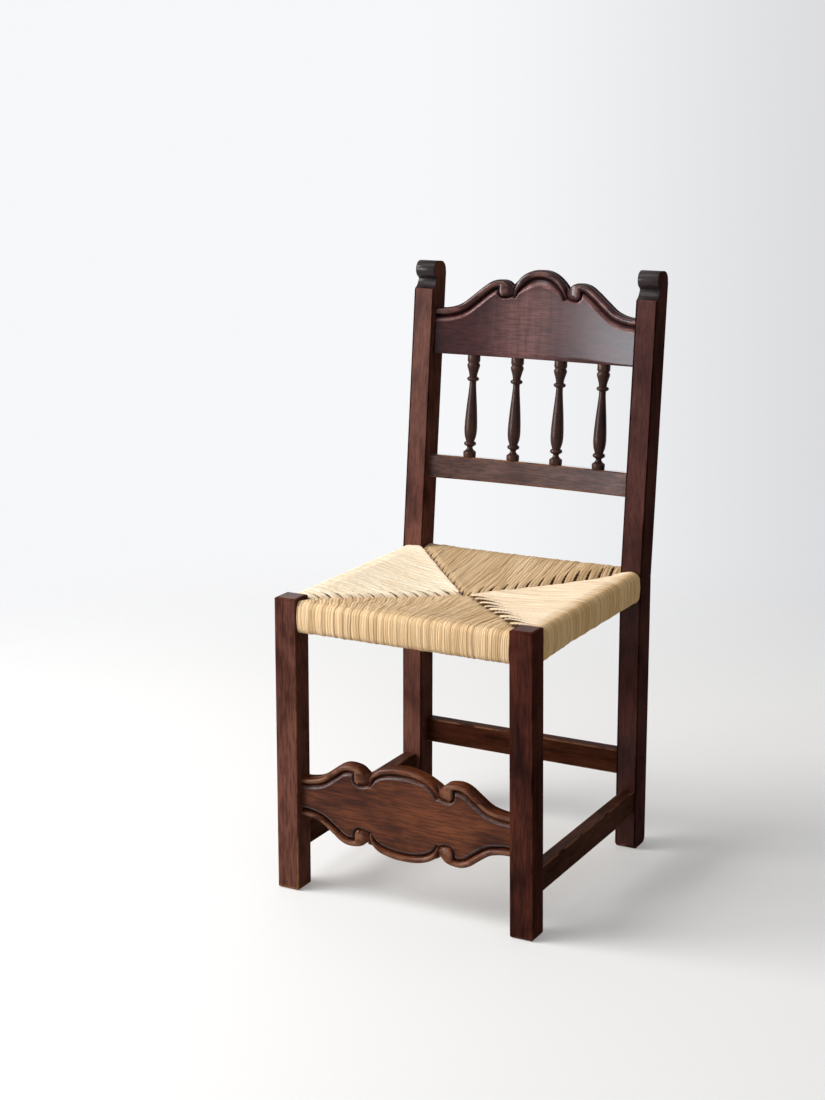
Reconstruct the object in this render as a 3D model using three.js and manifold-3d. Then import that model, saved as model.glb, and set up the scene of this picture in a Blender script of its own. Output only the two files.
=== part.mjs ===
// A dining chair with a hand-woven rush seat, a carved crest rail, four turned spindles and a
// carved front stretcher. Every piece of wood is a solid of its own, with the tenons that hold
// it and the mortises that take its neighbours.
//
// The frame: x runs to the right as the chair is seen from the front, y to the back, z up.
// Lengths are millimetres. While the pieces are made, y = 0 is the front face of the front legs.

import * as THREE from 'three';
import { mergeVertices } from 'three/addons/utils/BufferGeometryUtils.js';
import Module from 'manifold-3d';

const wasm = await Module();
wasm.setup();

// The gap that the glue fills between two pieces, and how far a cutting shape runs past its cut
const glueGap = 0.3;
const overrun = 20;

// Front legs: square timbers that stand a little wider on the floor than at the seat
const frontWidth = 416;
const footSplay = 4.2;
const legWidth = 36;
const legDepth = 36.5;
const legHeight = 455;
const legTopBevel = 3;

// Rear posts: upright to the kink at the seat, then raked back to a carved roll at the top
const rearExtraWidth = 2;
const rearWidth = frontWidth + rearExtraWidth;
const postTopInset = 2.5;
const postWidth = 34;
const postDepth = 40.5;
const postSetback = 386.6;
const kinkSetback = 3.3;
const kinkDrop = 14;
const kinkHeight = legHeight - kinkDrop;
const rakeAngle = THREE.MathUtils.degToRad(5.8);
const postFaceLength = 425;
const rollRadius = 12.5;
const rollCentreRise = 30;
const neckDepth = 9.6;
const neckRise = 12;
const ledgeDepth = 1.6;
const ledgeRise = 2.2;
const backRoundRadius = 15;
const rollTuck = 1.28 * Math.PI;

// Worn arrises and the bevel sawn round each foot
const arrisBevel = 1.2;
const footBevel = 5;

// Crest rail, measured from the kink up the rake and hung from the top of the posts' front faces.
// Its carved edge is measured from its shoulder, and its middle bows back
const backRailBow = 12;
const crestSetback = 8;
const crestThickness = 20;
const crestDrop = 103.5;
const crestEndHeight = 72.8;
const crestPeakRise = 48.7;
const crestNotchRise = 40.2;
const crestArchRise = 66.3;
const crestVoluteRise = 30.7;
const crestBottom = postFaceLength - crestDrop;
const crestShoulder = crestBottom + crestEndHeight;
const crestNotchShare = 0.2752;
const crestVoluteShare = 0.336;
const crestDrift = 2.5;
const crestTenonHeight = 52;
const crestTenonDrop = 8;

// Lower back rail, measured the same way
const lowerRailSetback = 11;
const lowerRailThickness = 20;
const lowerRailBottom = 122;
const lowerRailTop = 159.2;
const lowerRailTenonHeight = 24;

// The moulding carved along an edge: a bead, a groove behind it, and the field inside
const beadWidth = 12.5;
const beadHeight = 5;
const grooveWidth = 2.6;
const fieldDrop = 1;
const voluteRadius = 12.8;
const beadSink = 1.5;

// Spindles
const spindleCount = 4;
const spindlePitch = 74.6;
const spindleDrift = 4.2;
const spindleBlock = 20.2;
const spindleCollar = 19.2;
const spindleBelly = 20.4;
const spindleNeck = 11;
const spindleWaist = 8.8;
const spindleTenon = 10;
const spindleTenonLength = 12;

// Carved front stretcher, measured from its own centre line
const stretcherCentre = 147.4;
const stretcherSetback = 10.5;
const stretcherThickness = 20;
const stretcherDrift = -3;
const stretcherEnd = 30.8;
const stretcherPeak = 63.8;
const stretcherNotch = 53.3;
const stretcherArch = 71.8;
const stretcherNotchShare = 0.346;
const stretcherVoluteShare = 0.4147;
const stretcherVoluteHeight = 44;
const stretcherTenonHeight = 38;

// Plain stretchers
const sideStretcherBottom = 58;
const sideStretcherTop = 96.3;
const sideStretcherThickness = 20;
const sideStretcherInset = 4;
const sideStretcherTenonHeight = 28;
const rearStretcherBottom = 113.8;
const rearStretcherTop = 153.2;
const rearStretcherThickness = 20;
const rearStretcherSetback = 20;
const rearStretcherTenonHeight = 28;

// Tenons of all the rails
const tenonThickness = 10;
const tenonLength = 21;
const mortiseSlack = 1;

// Seat: four rails, hidden in the rush, whose tenons pass above and below one another
const seatDrop = 4.5;
const seatThickness = 47.5;
const seatTop = legHeight - seatDrop;
const seatUnderside = seatTop - seatThickness;
const rushThickness = 5.5;
const rushCorner = 11;
const seatRailThickness = 20;
const seatRailRound = 5;
const seatTenonHeight = 13;
const frontRushSetback = 3;
const sideRushInset = 2;
const rearRushInset = 3.5;
const seatSag = 15;
const undersideRise = 10;
const bridgeLength = 25;
const cornerGap = 0.6;

// Packing between the upper and lower rush
const packClearance = 0.6;
const packInset = 4;

// How finely the curves are cut
const roundSteps = 8;
const spindleSides = 12;
const beadSides = 5;
const archSteps = 7;
const scrollSteps = 14;
const railSteps = 12;
const scrollCurveSteps = 84;
const beadStrideSteps = 3;
const rushSteps = 14;
const outlineStep = 2;

const wood = new THREE.MeshStandardMaterial({ color: 0x4a2820, roughness: 0.42, metalness: 0 });
const carvedWood = new THREE.MeshStandardMaterial({ color: 0x5c3224, roughness: 0.4, metalness: 0 });
const rush = new THREE.MeshStandardMaterial({ color: 0xd6b883, roughness: 0.75, metalness: 0 });
const packing = new THREE.MeshStandardMaterial({ color: 0xa98a5a, roughness: 0.9, metalness: 0 });

// Solids

function signedVolume(geometry) {
  const position = geometry.attributes.position;
  const index = geometry.index.array;
  const corner = [new THREE.Vector3(), new THREE.Vector3(), new THREE.Vector3()];
  let volume = 0;
  for (let i = 0; i < index.length; i += 3) {
    corner.forEach((point, k) => point.fromBufferAttribute(position, index[i + k]));
    volume += corner[0].dot(corner[1].cross(corner[2])) / 6;
  }
  return volume;
}

function facingOut(geometry) {
  const bare = geometry.clone();
  bare.deleteAttribute('normal');
  bare.deleteAttribute('uv');
  const merged = mergeVertices(bare);
  if (signedVolume(merged) < 0) {
    const index = merged.index.array;
    for (let i = 0; i < index.length; i += 3) {
      [index[i + 1], index[i + 2]] = [index[i + 2], index[i + 1]];
    }
  }
  return merged;
}

function solidOf(geometry) {
  const closed = facingOut(geometry);
  return new wasm.Manifold(new wasm.Mesh({
    numProp: 3,
    vertProperties: new Float32Array(closed.attributes.position.array),
    triVerts: new Uint32Array(closed.index.array),
  }));
}

function geometryOf(solid) {
  const mesh = solid.getMesh();
  const geometry = new THREE.BufferGeometry();
  geometry.setAttribute('position', new THREE.BufferAttribute(mesh.vertProperties, 3));
  geometry.setIndex(new THREE.BufferAttribute(mesh.triVerts, 1));
  geometry.computeVertexNormals();
  return geometry;
}

function moved(solid, matrix) {
  return solidOf(geometryOf(solid).applyMatrix4(matrix));
}

function joined(solids) {
  return solids.reduce((whole, solid) => whole.add(solid));
}

function cutBy(solid, cutters) {
  return cutters.reduce((rest, cutter) => rest.subtract(cutter), solid);
}

// A box given by its lowest and highest corner, and the same box with room around it
function block(box) {
  const size = box.max.clone().sub(box.min);
  const centre = box.min.clone().add(box.max).multiplyScalar(0.5);
  const cuboid = new THREE.BoxGeometry(size.x, size.y, size.z);
  return solidOf(cuboid.translate(centre.x, centre.y, centre.z));
}

function boxOf(x0, x1, y0, y1, z0, z1) {
  const low = new THREE.Vector3(Math.min(x0, x1), Math.min(y0, y1), Math.min(z0, z1));
  const high = new THREE.Vector3(Math.max(x0, x1), Math.max(y0, y1), Math.max(z0, z1));
  return new THREE.Box3(low, high);
}

function mortiseFor(tenon) {
  return block(tenon.clone().expandByScalar(glueGap));
}

// The triangles of a flat lid, turned the same way as its outline
function lidOf(flat) {
  const faces = THREE.ShapeUtils.triangulateShape(flat, []);
  return THREE.ShapeUtils.isClockWise(flat) ? faces.map(([a, b, c]) => [c, b, a]) : faces;
}

// A closed skin over rings of points, each ring a flat loop, with a lid on the first and last
function loft(rings, firstFlat, lastFlat) {
  const count = rings[0].length;
  const positions = rings.flat().flatMap((point) => [point.x, point.y, point.z]);
  const index = [];
  for (let i = 0; i + 1 < rings.length; i += 1) {
    for (let k = 0; k < count; k += 1) {
      const a = i * count + k;
      const b = i * count + (k + 1) % count;
      index.push(a, b, b + count, a, b + count, a + count);
    }
  }
  const last = (rings.length - 1) * count;
  for (const [a, b, c] of lidOf(firstFlat)) {
    index.push(c, b, a);
  }
  for (const [a, b, c] of lidOf(lastFlat)) {
    index.push(last + a, last + b, last + c);
  }
  const geometry = new THREE.BufferGeometry();
  geometry.setAttribute('position', new THREE.Float32BufferAttribute(positions, 3));
  geometry.setIndex(index);
  return solidOf(geometry);
}

// Timbers: a side outline and a front outline, each sawn straight through, as a joiner saws them

const alongX = new THREE.Matrix4().makeBasis(
  new THREE.Vector3(0, 1, 0), new THREE.Vector3(0, 0, 1), new THREE.Vector3(1, 0, 0));
const alongY = new THREE.Matrix4().makeBasis(
  new THREE.Vector3(1, 0, 0), new THREE.Vector3(0, 0, 1), new THREE.Vector3(0, -1, 0));

function sideProfile(points, width, bevel) {
  const geometry = new THREE.ExtrudeGeometry(new THREE.Shape(points), {
    depth: width - 2 * bevel,
    bevelEnabled: bevel > 0,
    bevelThickness: bevel,
    bevelSize: bevel,
    bevelOffset: -bevel,
    bevelSegments: 1,
  });
  return solidOf(geometry.translate(0, 0, bevel - width / 2).applyMatrix4(alongX));
}

function frontProfile(points, y0, y1) {
  const outline = new THREE.Shape(points);
  const geometry = new THREE.ExtrudeGeometry(outline, { depth: y1 - y0, bevelEnabled: false });
  return solidOf(geometry.applyMatrix4(alongY).translate(0, y1, 0));
}

function bevelledUpright(half, height, foot, top) {
  return [
    new THREE.Vector2(-half + foot, 0),
    new THREE.Vector2(half - foot, 0),
    new THREE.Vector2(half, foot),
    new THREE.Vector2(half, height - top),
    new THREE.Vector2(half - top, height),
    new THREE.Vector2(-half + top, height),
    new THREE.Vector2(-half, height - top),
    new THREE.Vector2(-half, foot),
  ];
}

// The shear that sets a timber out of plumb sideways, with its foot still flat on the floor
function leaning(slope) {
  return new THREE.Matrix4().makeShear(0, 0, 0, 0, slope, 0);
}

// Front legs

const legCentreX = (frontWidth - legWidth) / 2;

function frontLeg(side, room) {
  const depthHalf = legDepth / 2 + room;
  const widthHalf = legWidth / 2 + room;
  const sideways = bevelledUpright(depthHalf, legHeight, footBevel, legTopBevel)
    .map((point) => new THREE.Vector2(point.x + legDepth / 2, point.y));
  const frontways = bevelledUpright(widthHalf, legHeight, footBevel, legTopBevel);
  const leg = sideProfile(sideways, 2 * widthHalf, arrisBevel)
    .intersect(frontProfile(frontways, -overrun, legDepth + overrun));
  const lean = leaning(-side * footSplay / legHeight);
  const place = new THREE.Matrix4().makeTranslation(side * (legCentreX + footSplay), 0, 0);
  return moved(leg, place.multiply(lean));
}

// Where the inner face of a front leg lies at a height
function legInner(height) {
  return legCentreX - legWidth / 2 + footSplay * (1 - height / legHeight);
}

// Rear posts: the upper part is set out in the raked frame, whose zero is the kink of the front face

const kinkY = postSetback + kinkSetback;
const postCentreX = (rearWidth - postWidth) / 2;
const rakedFrame = new THREE.Matrix4()
  .makeTranslation(0, kinkY, kinkHeight)
  .multiply(new THREE.Matrix4().makeRotationX(-rakeAngle));
const rakedFrameInverse = rakedFrame.clone().invert();

function raked(depth, rise) {
  const point = new THREE.Vector3(0, depth, rise).applyMatrix4(rakedFrame);
  return new THREE.Vector2(point.y, point.z);
}

function arcPoints(centreX, centreY, radius, from, to) {
  const points = [];
  for (let i = 0; i <= roundSteps; i += 1) {
    const angle = from + (to - from) * i / roundSteps;
    points.push([centreX + radius * Math.cos(angle), centreY + radius * Math.sin(angle)]);
  }
  return points;
}

function postOutline(room) {
  const rollTop = postFaceLength + rollCentreRise + rollRadius;
  const back = postDepth + room;
  const upper = [
    [-room, 0],
    [-room, postFaceLength],
    [ledgeDepth - room, postFaceLength + ledgeRise],
    [neckDepth - room, postFaceLength + neckRise],
    ...arcPoints(rollRadius, postFaceLength + rollCentreRise, rollRadius + room, rollTuck, Math.PI / 2),
    ...arcPoints(back - backRoundRadius, rollTop + room - backRoundRadius, backRoundRadius, Math.PI / 2, 0),
    [back, 0],
  ];
  const lower = [
    new THREE.Vector2(postSetback + postDepth + room, footBevel),
    new THREE.Vector2(postSetback + postDepth + room - footBevel, 0),
    new THREE.Vector2(postSetback - room + footBevel, 0),
    new THREE.Vector2(postSetback - room, footBevel),
  ];
  return [...upper.map(([depth, rise]) => raked(depth, rise)), ...lower];
}

function rearPost(side, room) {
  const outline = postOutline(room);
  const tall = Math.max(...outline.map((point) => point.y)) + overrun;
  const widthHalf = postWidth / 2 + room;
  const frontways = bevelledUpright(widthHalf, tall, footBevel, 0);
  const far = Math.max(...outline.map((point) => point.x)) + overrun;
  const post = sideProfile(outline, 2 * widthHalf, arrisBevel)
    .intersect(frontProfile(frontways, -overrun, far));
  const lean = leaning(-side * postTopInset / (kinkHeight + postFaceLength));
  return moved(post, new THREE.Matrix4().makeTranslation(side * postCentreX, 0, 0).multiply(lean));
}

// Where the inner face of a rear post lies at a height
function postInner(height) {
  return postCentreX - postWidth / 2 - postTopInset * height / (kinkHeight + postFaceLength);
}

const sides = [{ name: 'left', sign: -1 }, { name: 'right', sign: 1 }];
const legRoom = sides.map(({ sign }) => frontLeg(sign, glueGap));
const postRoom = sides.map(({ sign }) => rearPost(sign, glueGap));
const postRoomInRake = postRoom.map((post) => moved(post, rakedFrameInverse));

// Tenons: the same box makes the tenon and, with the glue gap around it, the mortise

function crossTenons(inner, y, zLow, zHigh, thickness) {
  const half = thickness / 2;
  return sides.map(({ sign }) => boxOf(
    sign * (inner - overrun), sign * (inner + tenonLength), y - half, y + half, zLow, zHigh));
}

// Carved boards

// Shares of the way from the notch to the end, and of the height from the shoulder to the peak
const crestScrollShares = [
  [0.07, 0.95], [0.16, 1], [0.28, 0.935], [0.393, 0.745], [0.539, 0.44], [0.676, 0.175], [0.814, 0.045],
  [1, 0]];
const stretcherScrollShares = [
  [0.094, 0.91], [0.19, 0.99], [0.28, 1], [0.352, 0.945], [0.424, 0.825], [0.494, 0.645], [0.583, 0.42],
  [0.654, 0.25], [0.725, 0.13], [0.867, 0.025], [1, 0]];
const hookEndShare = 0.8;
const hookTurn = 0.9 * Math.PI;
const domeShares = [[0, 1], [0.55, 0.96], [0.85, 0.72], [1, 0.3]];
const archTailShares = [[0.06, 0.5], [0.12, 0.05]];

// The upper edge of a carved board over one half of its length
function carvedEdge(board) {
  const half = board.notchHalf;
  const sag = board.arch - board.notch;
  const archRadius = (half * half + sag * sag) / (2 * sag);
  const span = board.halfLength - half;
  const rise = board.peak - board.shoulder;
  const scroll = new THREE.CatmullRomCurve3([
    new THREE.Vector3(half, 0, board.notch),
    ...board.scrollShares.map(([along, up]) => new THREE.Vector3(
      half + along * span, 0, board.shoulder + up * rise)),
    new THREE.Vector3(board.halfLength + overrun, 0, board.shoulder),
  ], false, 'centripetal');
  const arch = (x) => board.arch - archRadius + Math.sqrt(archRadius * archRadius - x * x);
  const scrollPoints = scroll.getPoints(scrollCurveSteps);
  return { arch, archRadius, scrollPoints };
}

function heightAlong(points, x) {
  const after = points.findIndex((point) => point.x >= x);
  if (after <= 0) return points[after < 0 ? points.length - 1 : 0].z;
  const a = points[after - 1];
  const b = points[after];
  return a.z + (b.z - a.z) * (x - a.x) / (b.x - a.x);
}

function bowAt(board, x) {
  const share = Math.min(Math.abs(x) / board.halfLength, 1);
  return board.bow * (1 - share * share);
}

// The inner border of the groove: as far from every point of the edge as the moulding is wide
function lipHeight(board, edge, x) {
  const reach = beadWidth + grooveWidth;
  let lip = edge(x) - reach;
  for (let near = x - reach; near <= x + reach; near += outlineStep) {
    const off = Math.min(Math.abs(near - x), reach);
    lip = Math.min(lip, edge(near) - Math.sqrt(reach * reach - off * off));
  }
  const ring = voluteRadius + grooveWidth;
  const off = Math.abs(Math.abs(x) - board.voluteX);
  return off < ring ? Math.min(lip, board.voluteHeight - Math.sqrt(ring * ring - off * off)) : lip;
}

// A bead is half round in section, follows a path on the face, and can narrow to its end
function bead(board, path, steps, endShare) {
  const section = [];
  for (let i = 0; i <= beadSides; i += 1) {
    const angle = Math.PI * i / beadSides;
    section.push([beadWidth / 2 * Math.cos(angle), beadHeight * (1 - Math.sin(angle))]);
  }
  section.push([-beadWidth / 2, beadHeight + beadSink], [beadWidth / 2, beadHeight + beadSink]);
  const rings = [];
  for (let i = 0; i <= steps; i += 1) {
    const at = path.getPointAt(i / steps);
    const tangent = path.getTangentAt(i / steps);
    const width = 1 + (endShare - 1) * i / steps;
    rings.push(section.map(([across, depth]) => new THREE.Vector3(
      at.x - tangent.z * across * width, bowAt(board, at.x) + depth, at.z + tangent.x * across * width)));
  }
  const flat = section.map(([across, depth]) => new THREE.Vector2(across, depth));
  return loft(rings, flat, flat);
}

function volute(board, side, up) {
  const profile = [
    ...domeShares.map(([out, crown]) => new THREE.Vector2(out * voluteRadius, beadHeight * (1 - crown))),
    new THREE.Vector2(voluteRadius, beadHeight + beadSink),
    new THREE.Vector2(0, beadHeight + beadSink),
  ];
  const dome = new THREE.LatheGeometry(profile, 2 * roundSteps);
  return solidOf(dome.translate(
    side * board.voluteX, bowAt(board, board.voluteX), up * board.voluteHeight));
}

// The scroll's bead runs in from the end, over the peak, and hooks round the volute
function scrollPath(board, edges, side, up) {
  const points = [];
  const outline = edges.scrollPoints;
  for (let i = outline.length - 1; i > 0; i -= beadStrideSteps) {
    const run = outline[i].clone().sub(outline[Math.max(i - beadStrideSteps, 0)]).normalize();
    const inset = new THREE.Vector3(run.z, 0, -run.x).multiplyScalar(beadWidth / 2);
    const point = outline[i].clone().add(inset);
    if (point.x < board.voluteX + voluteRadius) break;
    points.push(point);
  }
  const last = points[points.length - 1];
  const centre = new THREE.Vector3(board.voluteX, 0, board.voluteHeight);
  const start = Math.atan2(last.z - centre.z, last.x - centre.x);
  const wide = last.distanceTo(centre);
  const tight = voluteRadius - beadWidth / 2;
  for (let i = 1; i <= roundSteps; i += 1) {
    const share = i / roundSteps;
    const angle = start + (hookTurn - start) * share;
    const radius = wide + (tight - wide) * Math.sqrt(share);
    const turned = new THREE.Vector3(Math.cos(angle), 0, Math.sin(angle)).multiplyScalar(radius);
    points.push(turned.add(centre));
  }
  return new THREE.CatmullRomCurve3(
    points.map((point) => new THREE.Vector3(side * point.x, 0, up * point.z)), false, 'centripetal');
}

// The arch's bead dips at each end to lie beside the volute
function archPath(board, edges, up) {
  const points = [];
  const radius = edges.archRadius - beadWidth / 2;
  const reach = Math.asin((board.notchHalf - beadWidth / 2) / edges.archRadius);
  for (let i = 0; i <= archSteps; i += 1) {
    const angle = reach * (2 * i / archSteps - 1);
    const rise = board.arch - edges.archRadius + radius * Math.cos(angle);
    points.push(new THREE.Vector3(radius * Math.sin(angle), 0, rise));
  }
  const end = points[points.length - 1];
  const side = board.voluteX - voluteRadius - beadWidth / 2;
  for (const [along, drop] of archTailShares) {
    const x = side + along * voluteRadius;
    const z = board.voluteHeight + drop * voluteRadius;
    if (z < end.z) {
      points.push(new THREE.Vector3(x, 0, z));
      points.unshift(new THREE.Vector3(-x, 0, z));
    }
  }
  return new THREE.CatmullRomCurve3(points.map((point) => point.setZ(up * point.z)), false, 'centripetal');
}

// The board's face is at the crown of its bead; the carving can sit a little off centre
function carvedBoard(board) {
  const edges = carvedEdge(board);
  const edge = (x) => {
    const off = Math.abs(x);
    return off <= board.notchHalf ? edges.arch(off) : heightAlong(edges.scrollPoints, off);
  };
  const stations = [];
  for (let i = 0; i <= archSteps; i += 1) {
    stations.push(board.notchHalf * i / archSteps);
  }
  const end = board.halfLength + overrun;
  for (let i = 1; i <= scrollSteps; i += 1) {
    stations.push(board.notchHalf + (end - board.notchHalf) * i / scrollSteps);
  }
  const both = [...stations.slice(1).reverse().map((x) => -x), ...stations];
  const flats = both.map((x) => {
    const top = edge(x);
    const lip = lipHeight(board, edge, x);
    const upper = [
      [fieldDrop, lip], [beadHeight, lip + grooveWidth / 2], [beadHeight, top], [board.thickness, top]];
    const lower = board.twoEdged
      ? upper.map(([depth, height]) => [depth, -height]).reverse()
      : [[board.thickness, board.bottom], [fieldDrop, board.bottom]];
    return [...upper, ...lower];
  });
  const rings = flats.map((flat, i) => flat.map(([depth, height]) => new THREE.Vector3(
    both[i], bowAt(board, both[i]) + depth, height)));
  const lid = (flat) => flat.map(([depth, height]) => new THREE.Vector2(depth, height));
  const pieces = [loft(rings, lid(flats[0]), lid(flats[flats.length - 1]))];
  for (const up of board.twoEdged ? [1, -1] : [1]) {
    pieces.push(bead(board, archPath(board, edges, up), 2 * archSteps, 1));
    for (const { sign } of sides) {
      pieces.push(bead(board, scrollPath(board, edges, sign, up), 2 * scrollSteps, hookEndShare));
      pieces.push(volute(board, sign, up));
    }
  }
  return joined(pieces);
}

function placed(solid, x, y, z) {
  return moved(solid, new THREE.Matrix4().makeTranslation(x, y, z));
}

// Crest rail

const crestHalf = postInner(kinkHeight + crestShoulder);
const crestTenons = crossTenons(
  crestHalf, crestSetback + crestThickness / 2,
  crestShoulder - crestTenonDrop - crestTenonHeight, crestShoulder - crestTenonDrop, tenonThickness);
const spindleXs = Array.from({ length: spindleCount }, (_, i) => (
  spindleDrift + spindlePitch * (i - (spindleCount - 1) / 2)));

function backBowAt(x) {
  return bowAt({ bow: backRailBow, halfLength: crestHalf }, x);
}

function spindleDepth(x) {
  return crestSetback + crestThickness / 2 + backBowAt(x);
}

// A round socket for each spindle's tenon, sunk from a rail's edge
function spindleSockets(from, to) {
  return spindleXs.map((x) => {
    const socket = new THREE.CylinderGeometry(
      spindleTenon / 2 + glueGap, spindleTenon / 2 + glueGap, Math.abs(to - from), spindleSides);
    return solidOf(socket.rotateX(Math.PI / 2).translate(x, spindleDepth(x), (from + to) / 2));
  });
}

function crestRail() {
  const carved = carvedBoard({
    halfLength: crestHalf,
    bow: backRailBow,
    thickness: crestThickness,
    bottom: crestBottom,
    shoulder: crestShoulder,
    peak: crestShoulder + crestPeakRise,
    notch: crestShoulder + crestNotchRise,
    arch: crestShoulder + crestArchRise,
    notchHalf: crestHalf * crestNotchShare,
    voluteX: crestHalf * crestVoluteShare,
    voluteHeight: crestShoulder + crestVoluteRise,
    scrollShares: crestScrollShares,
    twoEdged: false,
  });
  const shouldered = cutBy(placed(carved, crestDrift, crestSetback, 0), postRoomInRake);
  const sockets = spindleSockets(crestBottom - overrun, crestBottom + spindleTenonLength + mortiseSlack);
  return cutBy(joined([shouldered, ...crestTenons.map(block)]), sockets);
}

// Lower back rail: a plain bowed rail with eased edges

const lowerRailMiddle = (lowerRailBottom + lowerRailTop) / 2;
const lowerRailHalf = postInner(kinkHeight + lowerRailMiddle);
const lowerRailTenons = crossTenons(
  lowerRailHalf, lowerRailSetback + lowerRailThickness / 2,
  lowerRailMiddle - lowerRailTenonHeight / 2, lowerRailMiddle + lowerRailTenonHeight / 2, tenonThickness);

function easedSection(width, height, ease) {
  const corners = [
    [ease, 0], [width - ease, 0], [width, ease], [width, height - ease],
    [width - ease, height], [ease, height], [0, height - ease], [0, ease],
  ];
  return corners.map(([across, rise]) => new THREE.Vector2(across, rise));
}

function lowerBackRail() {
  const section = easedSection(lowerRailThickness, lowerRailTop - lowerRailBottom, arrisBevel);
  const rings = [];
  const reach = lowerRailHalf + overrun / 2;
  for (let i = 0; i <= railSteps; i += 1) {
    const x = reach * (2 * i / railSteps - 1);
    rings.push(section.map((corner) => new THREE.Vector3(
      x, lowerRailSetback + backBowAt(x) + corner.x, lowerRailBottom + corner.y)));
  }
  const rail = cutBy(loft(rings, section, section), postRoomInRake);
  const sockets = spindleSockets(lowerRailTop - spindleTenonLength - mortiseSlack, lowerRailTop + overrun);
  return cutBy(joined([rail, ...lowerRailTenons.map(block)]), sockets);
}

// Spindles: shares of the length in sight, from the lower rail up, with the diameter at each

const spindleShares = [
  [0, spindleBlock * 0.95], [0.008, spindleBlock], [0.052, spindleBlock], [0.06, spindleBlock * 0.8],
  [0.088, spindleWaist], [0.115, spindleWaist * 1.5], [0.128, spindleCollar], [0.14, spindleCollar],
  [0.15, spindleNeck * 1.15], [0.2, spindleBelly * 0.88], [0.28, spindleBelly], [0.35, spindleBelly * 0.97],
  [0.5, spindleBelly * 0.82], [0.7, spindleNeck], [0.755, spindleNeck], [0.763, spindleCollar],
  [0.782, spindleCollar], [0.793, spindleNeck], [0.82, spindleNeck * 1.1], [0.878, spindleBlock],
  [0.915, spindleBlock], [0.928, spindleBlock * 0.84], [0.94, spindleBlock], [0.992, spindleBlock],
  [1, spindleBlock * 0.95],
];

function spindle() {
  const length = crestBottom - lowerRailTop - 2 * glueGap;
  const profile = [
    new THREE.Vector2(0, -spindleTenonLength),
    new THREE.Vector2(spindleTenon / 2, -spindleTenonLength),
    new THREE.Vector2(spindleTenon / 2, 0),
    ...spindleShares.map(([up, width]) => new THREE.Vector2(width / 2, up * length)),
    new THREE.Vector2(spindleTenon / 2, length),
    new THREE.Vector2(spindleTenon / 2, length + spindleTenonLength),
    new THREE.Vector2(0, length + spindleTenonLength),
  ];
  return facingOut(new THREE.LatheGeometry(profile, spindleSides).rotateX(Math.PI / 2));
}

// Front stretcher

const stretcherHalf = legInner(stretcherCentre);
const stretcherTenons = crossTenons(
  stretcherHalf, stretcherSetback + stretcherThickness / 2,
  stretcherCentre - stretcherTenonHeight / 2, stretcherCentre + stretcherTenonHeight / 2, tenonThickness);

function frontStretcher() {
  const carved = carvedBoard({
    halfLength: stretcherHalf,
    bow: 0,
    thickness: stretcherThickness,
    shoulder: stretcherEnd,
    peak: stretcherPeak,
    notch: stretcherNotch,
    arch: stretcherArch,
    notchHalf: stretcherHalf * stretcherNotchShare,
    voluteX: stretcherHalf * stretcherVoluteShare,
    voluteHeight: stretcherVoluteHeight,
    scrollShares: stretcherScrollShares,
    twoEdged: true,
  });
  const shouldered = cutBy(placed(carved, stretcherDrift, stretcherSetback, stretcherCentre), legRoom);
  return joined([shouldered, ...stretcherTenons.map(block)]);
}

// Plain rails: an eased section between two shoulders, with a tenon at each end

function railAcross(y, bottom, width, height, ease, reach) {
  const section = new THREE.Shape(easedSection(width, height, ease));
  const geometry = new THREE.ExtrudeGeometry(section, { depth: 2 * reach, bevelEnabled: false });
  return solidOf(geometry.translate(y, bottom, -reach).applyMatrix4(alongX));
}

function railBack(x, bottom, width, height, ease, y0, y1) {
  const section = new THREE.Shape(easedSection(width, height, ease));
  const geometry = new THREE.ExtrudeGeometry(section, { depth: y1 - y0, bevelEnabled: false });
  return solidOf(geometry.translate(x, bottom, -y1).applyMatrix4(alongY));
}

// The front face of a rear post below the kink
function postFrontY(height) {
  return postSetback + kinkSetback * height / kinkHeight;
}

const rearStretcherMiddle = (rearStretcherBottom + rearStretcherTop) / 2;
const rearStretcherY = postFrontY(rearStretcherMiddle) + rearStretcherSetback;
const rearStretcherTenons = crossTenons(
  postInner(rearStretcherMiddle), rearStretcherY + rearStretcherThickness / 2,
  rearStretcherMiddle - rearStretcherTenonHeight / 2, rearStretcherMiddle + rearStretcherTenonHeight / 2,
  tenonThickness);

function rearStretcher() {
  const rail = railAcross(
    rearStretcherY, rearStretcherBottom, rearStretcherThickness, rearStretcherTop - rearStretcherBottom,
    arrisBevel, postInner(rearStretcherMiddle) + overrun / 2);
  return joined([cutBy(rail, postRoom), ...rearStretcherTenons.map(block)]);
}

// A rail from front to back has a tenon in the front leg and one in the rear post
function backTenons(centreX, zLow, zHigh) {
  const middle = (zLow + zHigh) / 2;
  const x0 = centreX - tenonThickness / 2;
  const x1 = centreX + tenonThickness / 2;
  const front = boxOf(x0, x1, legDepth - tenonLength, legDepth + overrun, zLow, zHigh);
  const rear = boxOf(x0, x1, postFrontY(middle) - overrun, postFrontY(middle) + tenonLength, zLow, zHigh);
  return { front, rear };
}

const sideStretcherX = rearWidth / 2 - sideStretcherInset - sideStretcherThickness / 2;
const sideStretcherHeight = sideStretcherTop - sideStretcherBottom;
const sideStretcherMiddle = sideStretcherBottom + sideStretcherHeight / 2;
const sideStretcherTenons = sides.map(({ sign }) => backTenons(
  sign * sideStretcherX, sideStretcherMiddle - sideStretcherTenonHeight / 2,
  sideStretcherMiddle + sideStretcherTenonHeight / 2));

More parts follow.
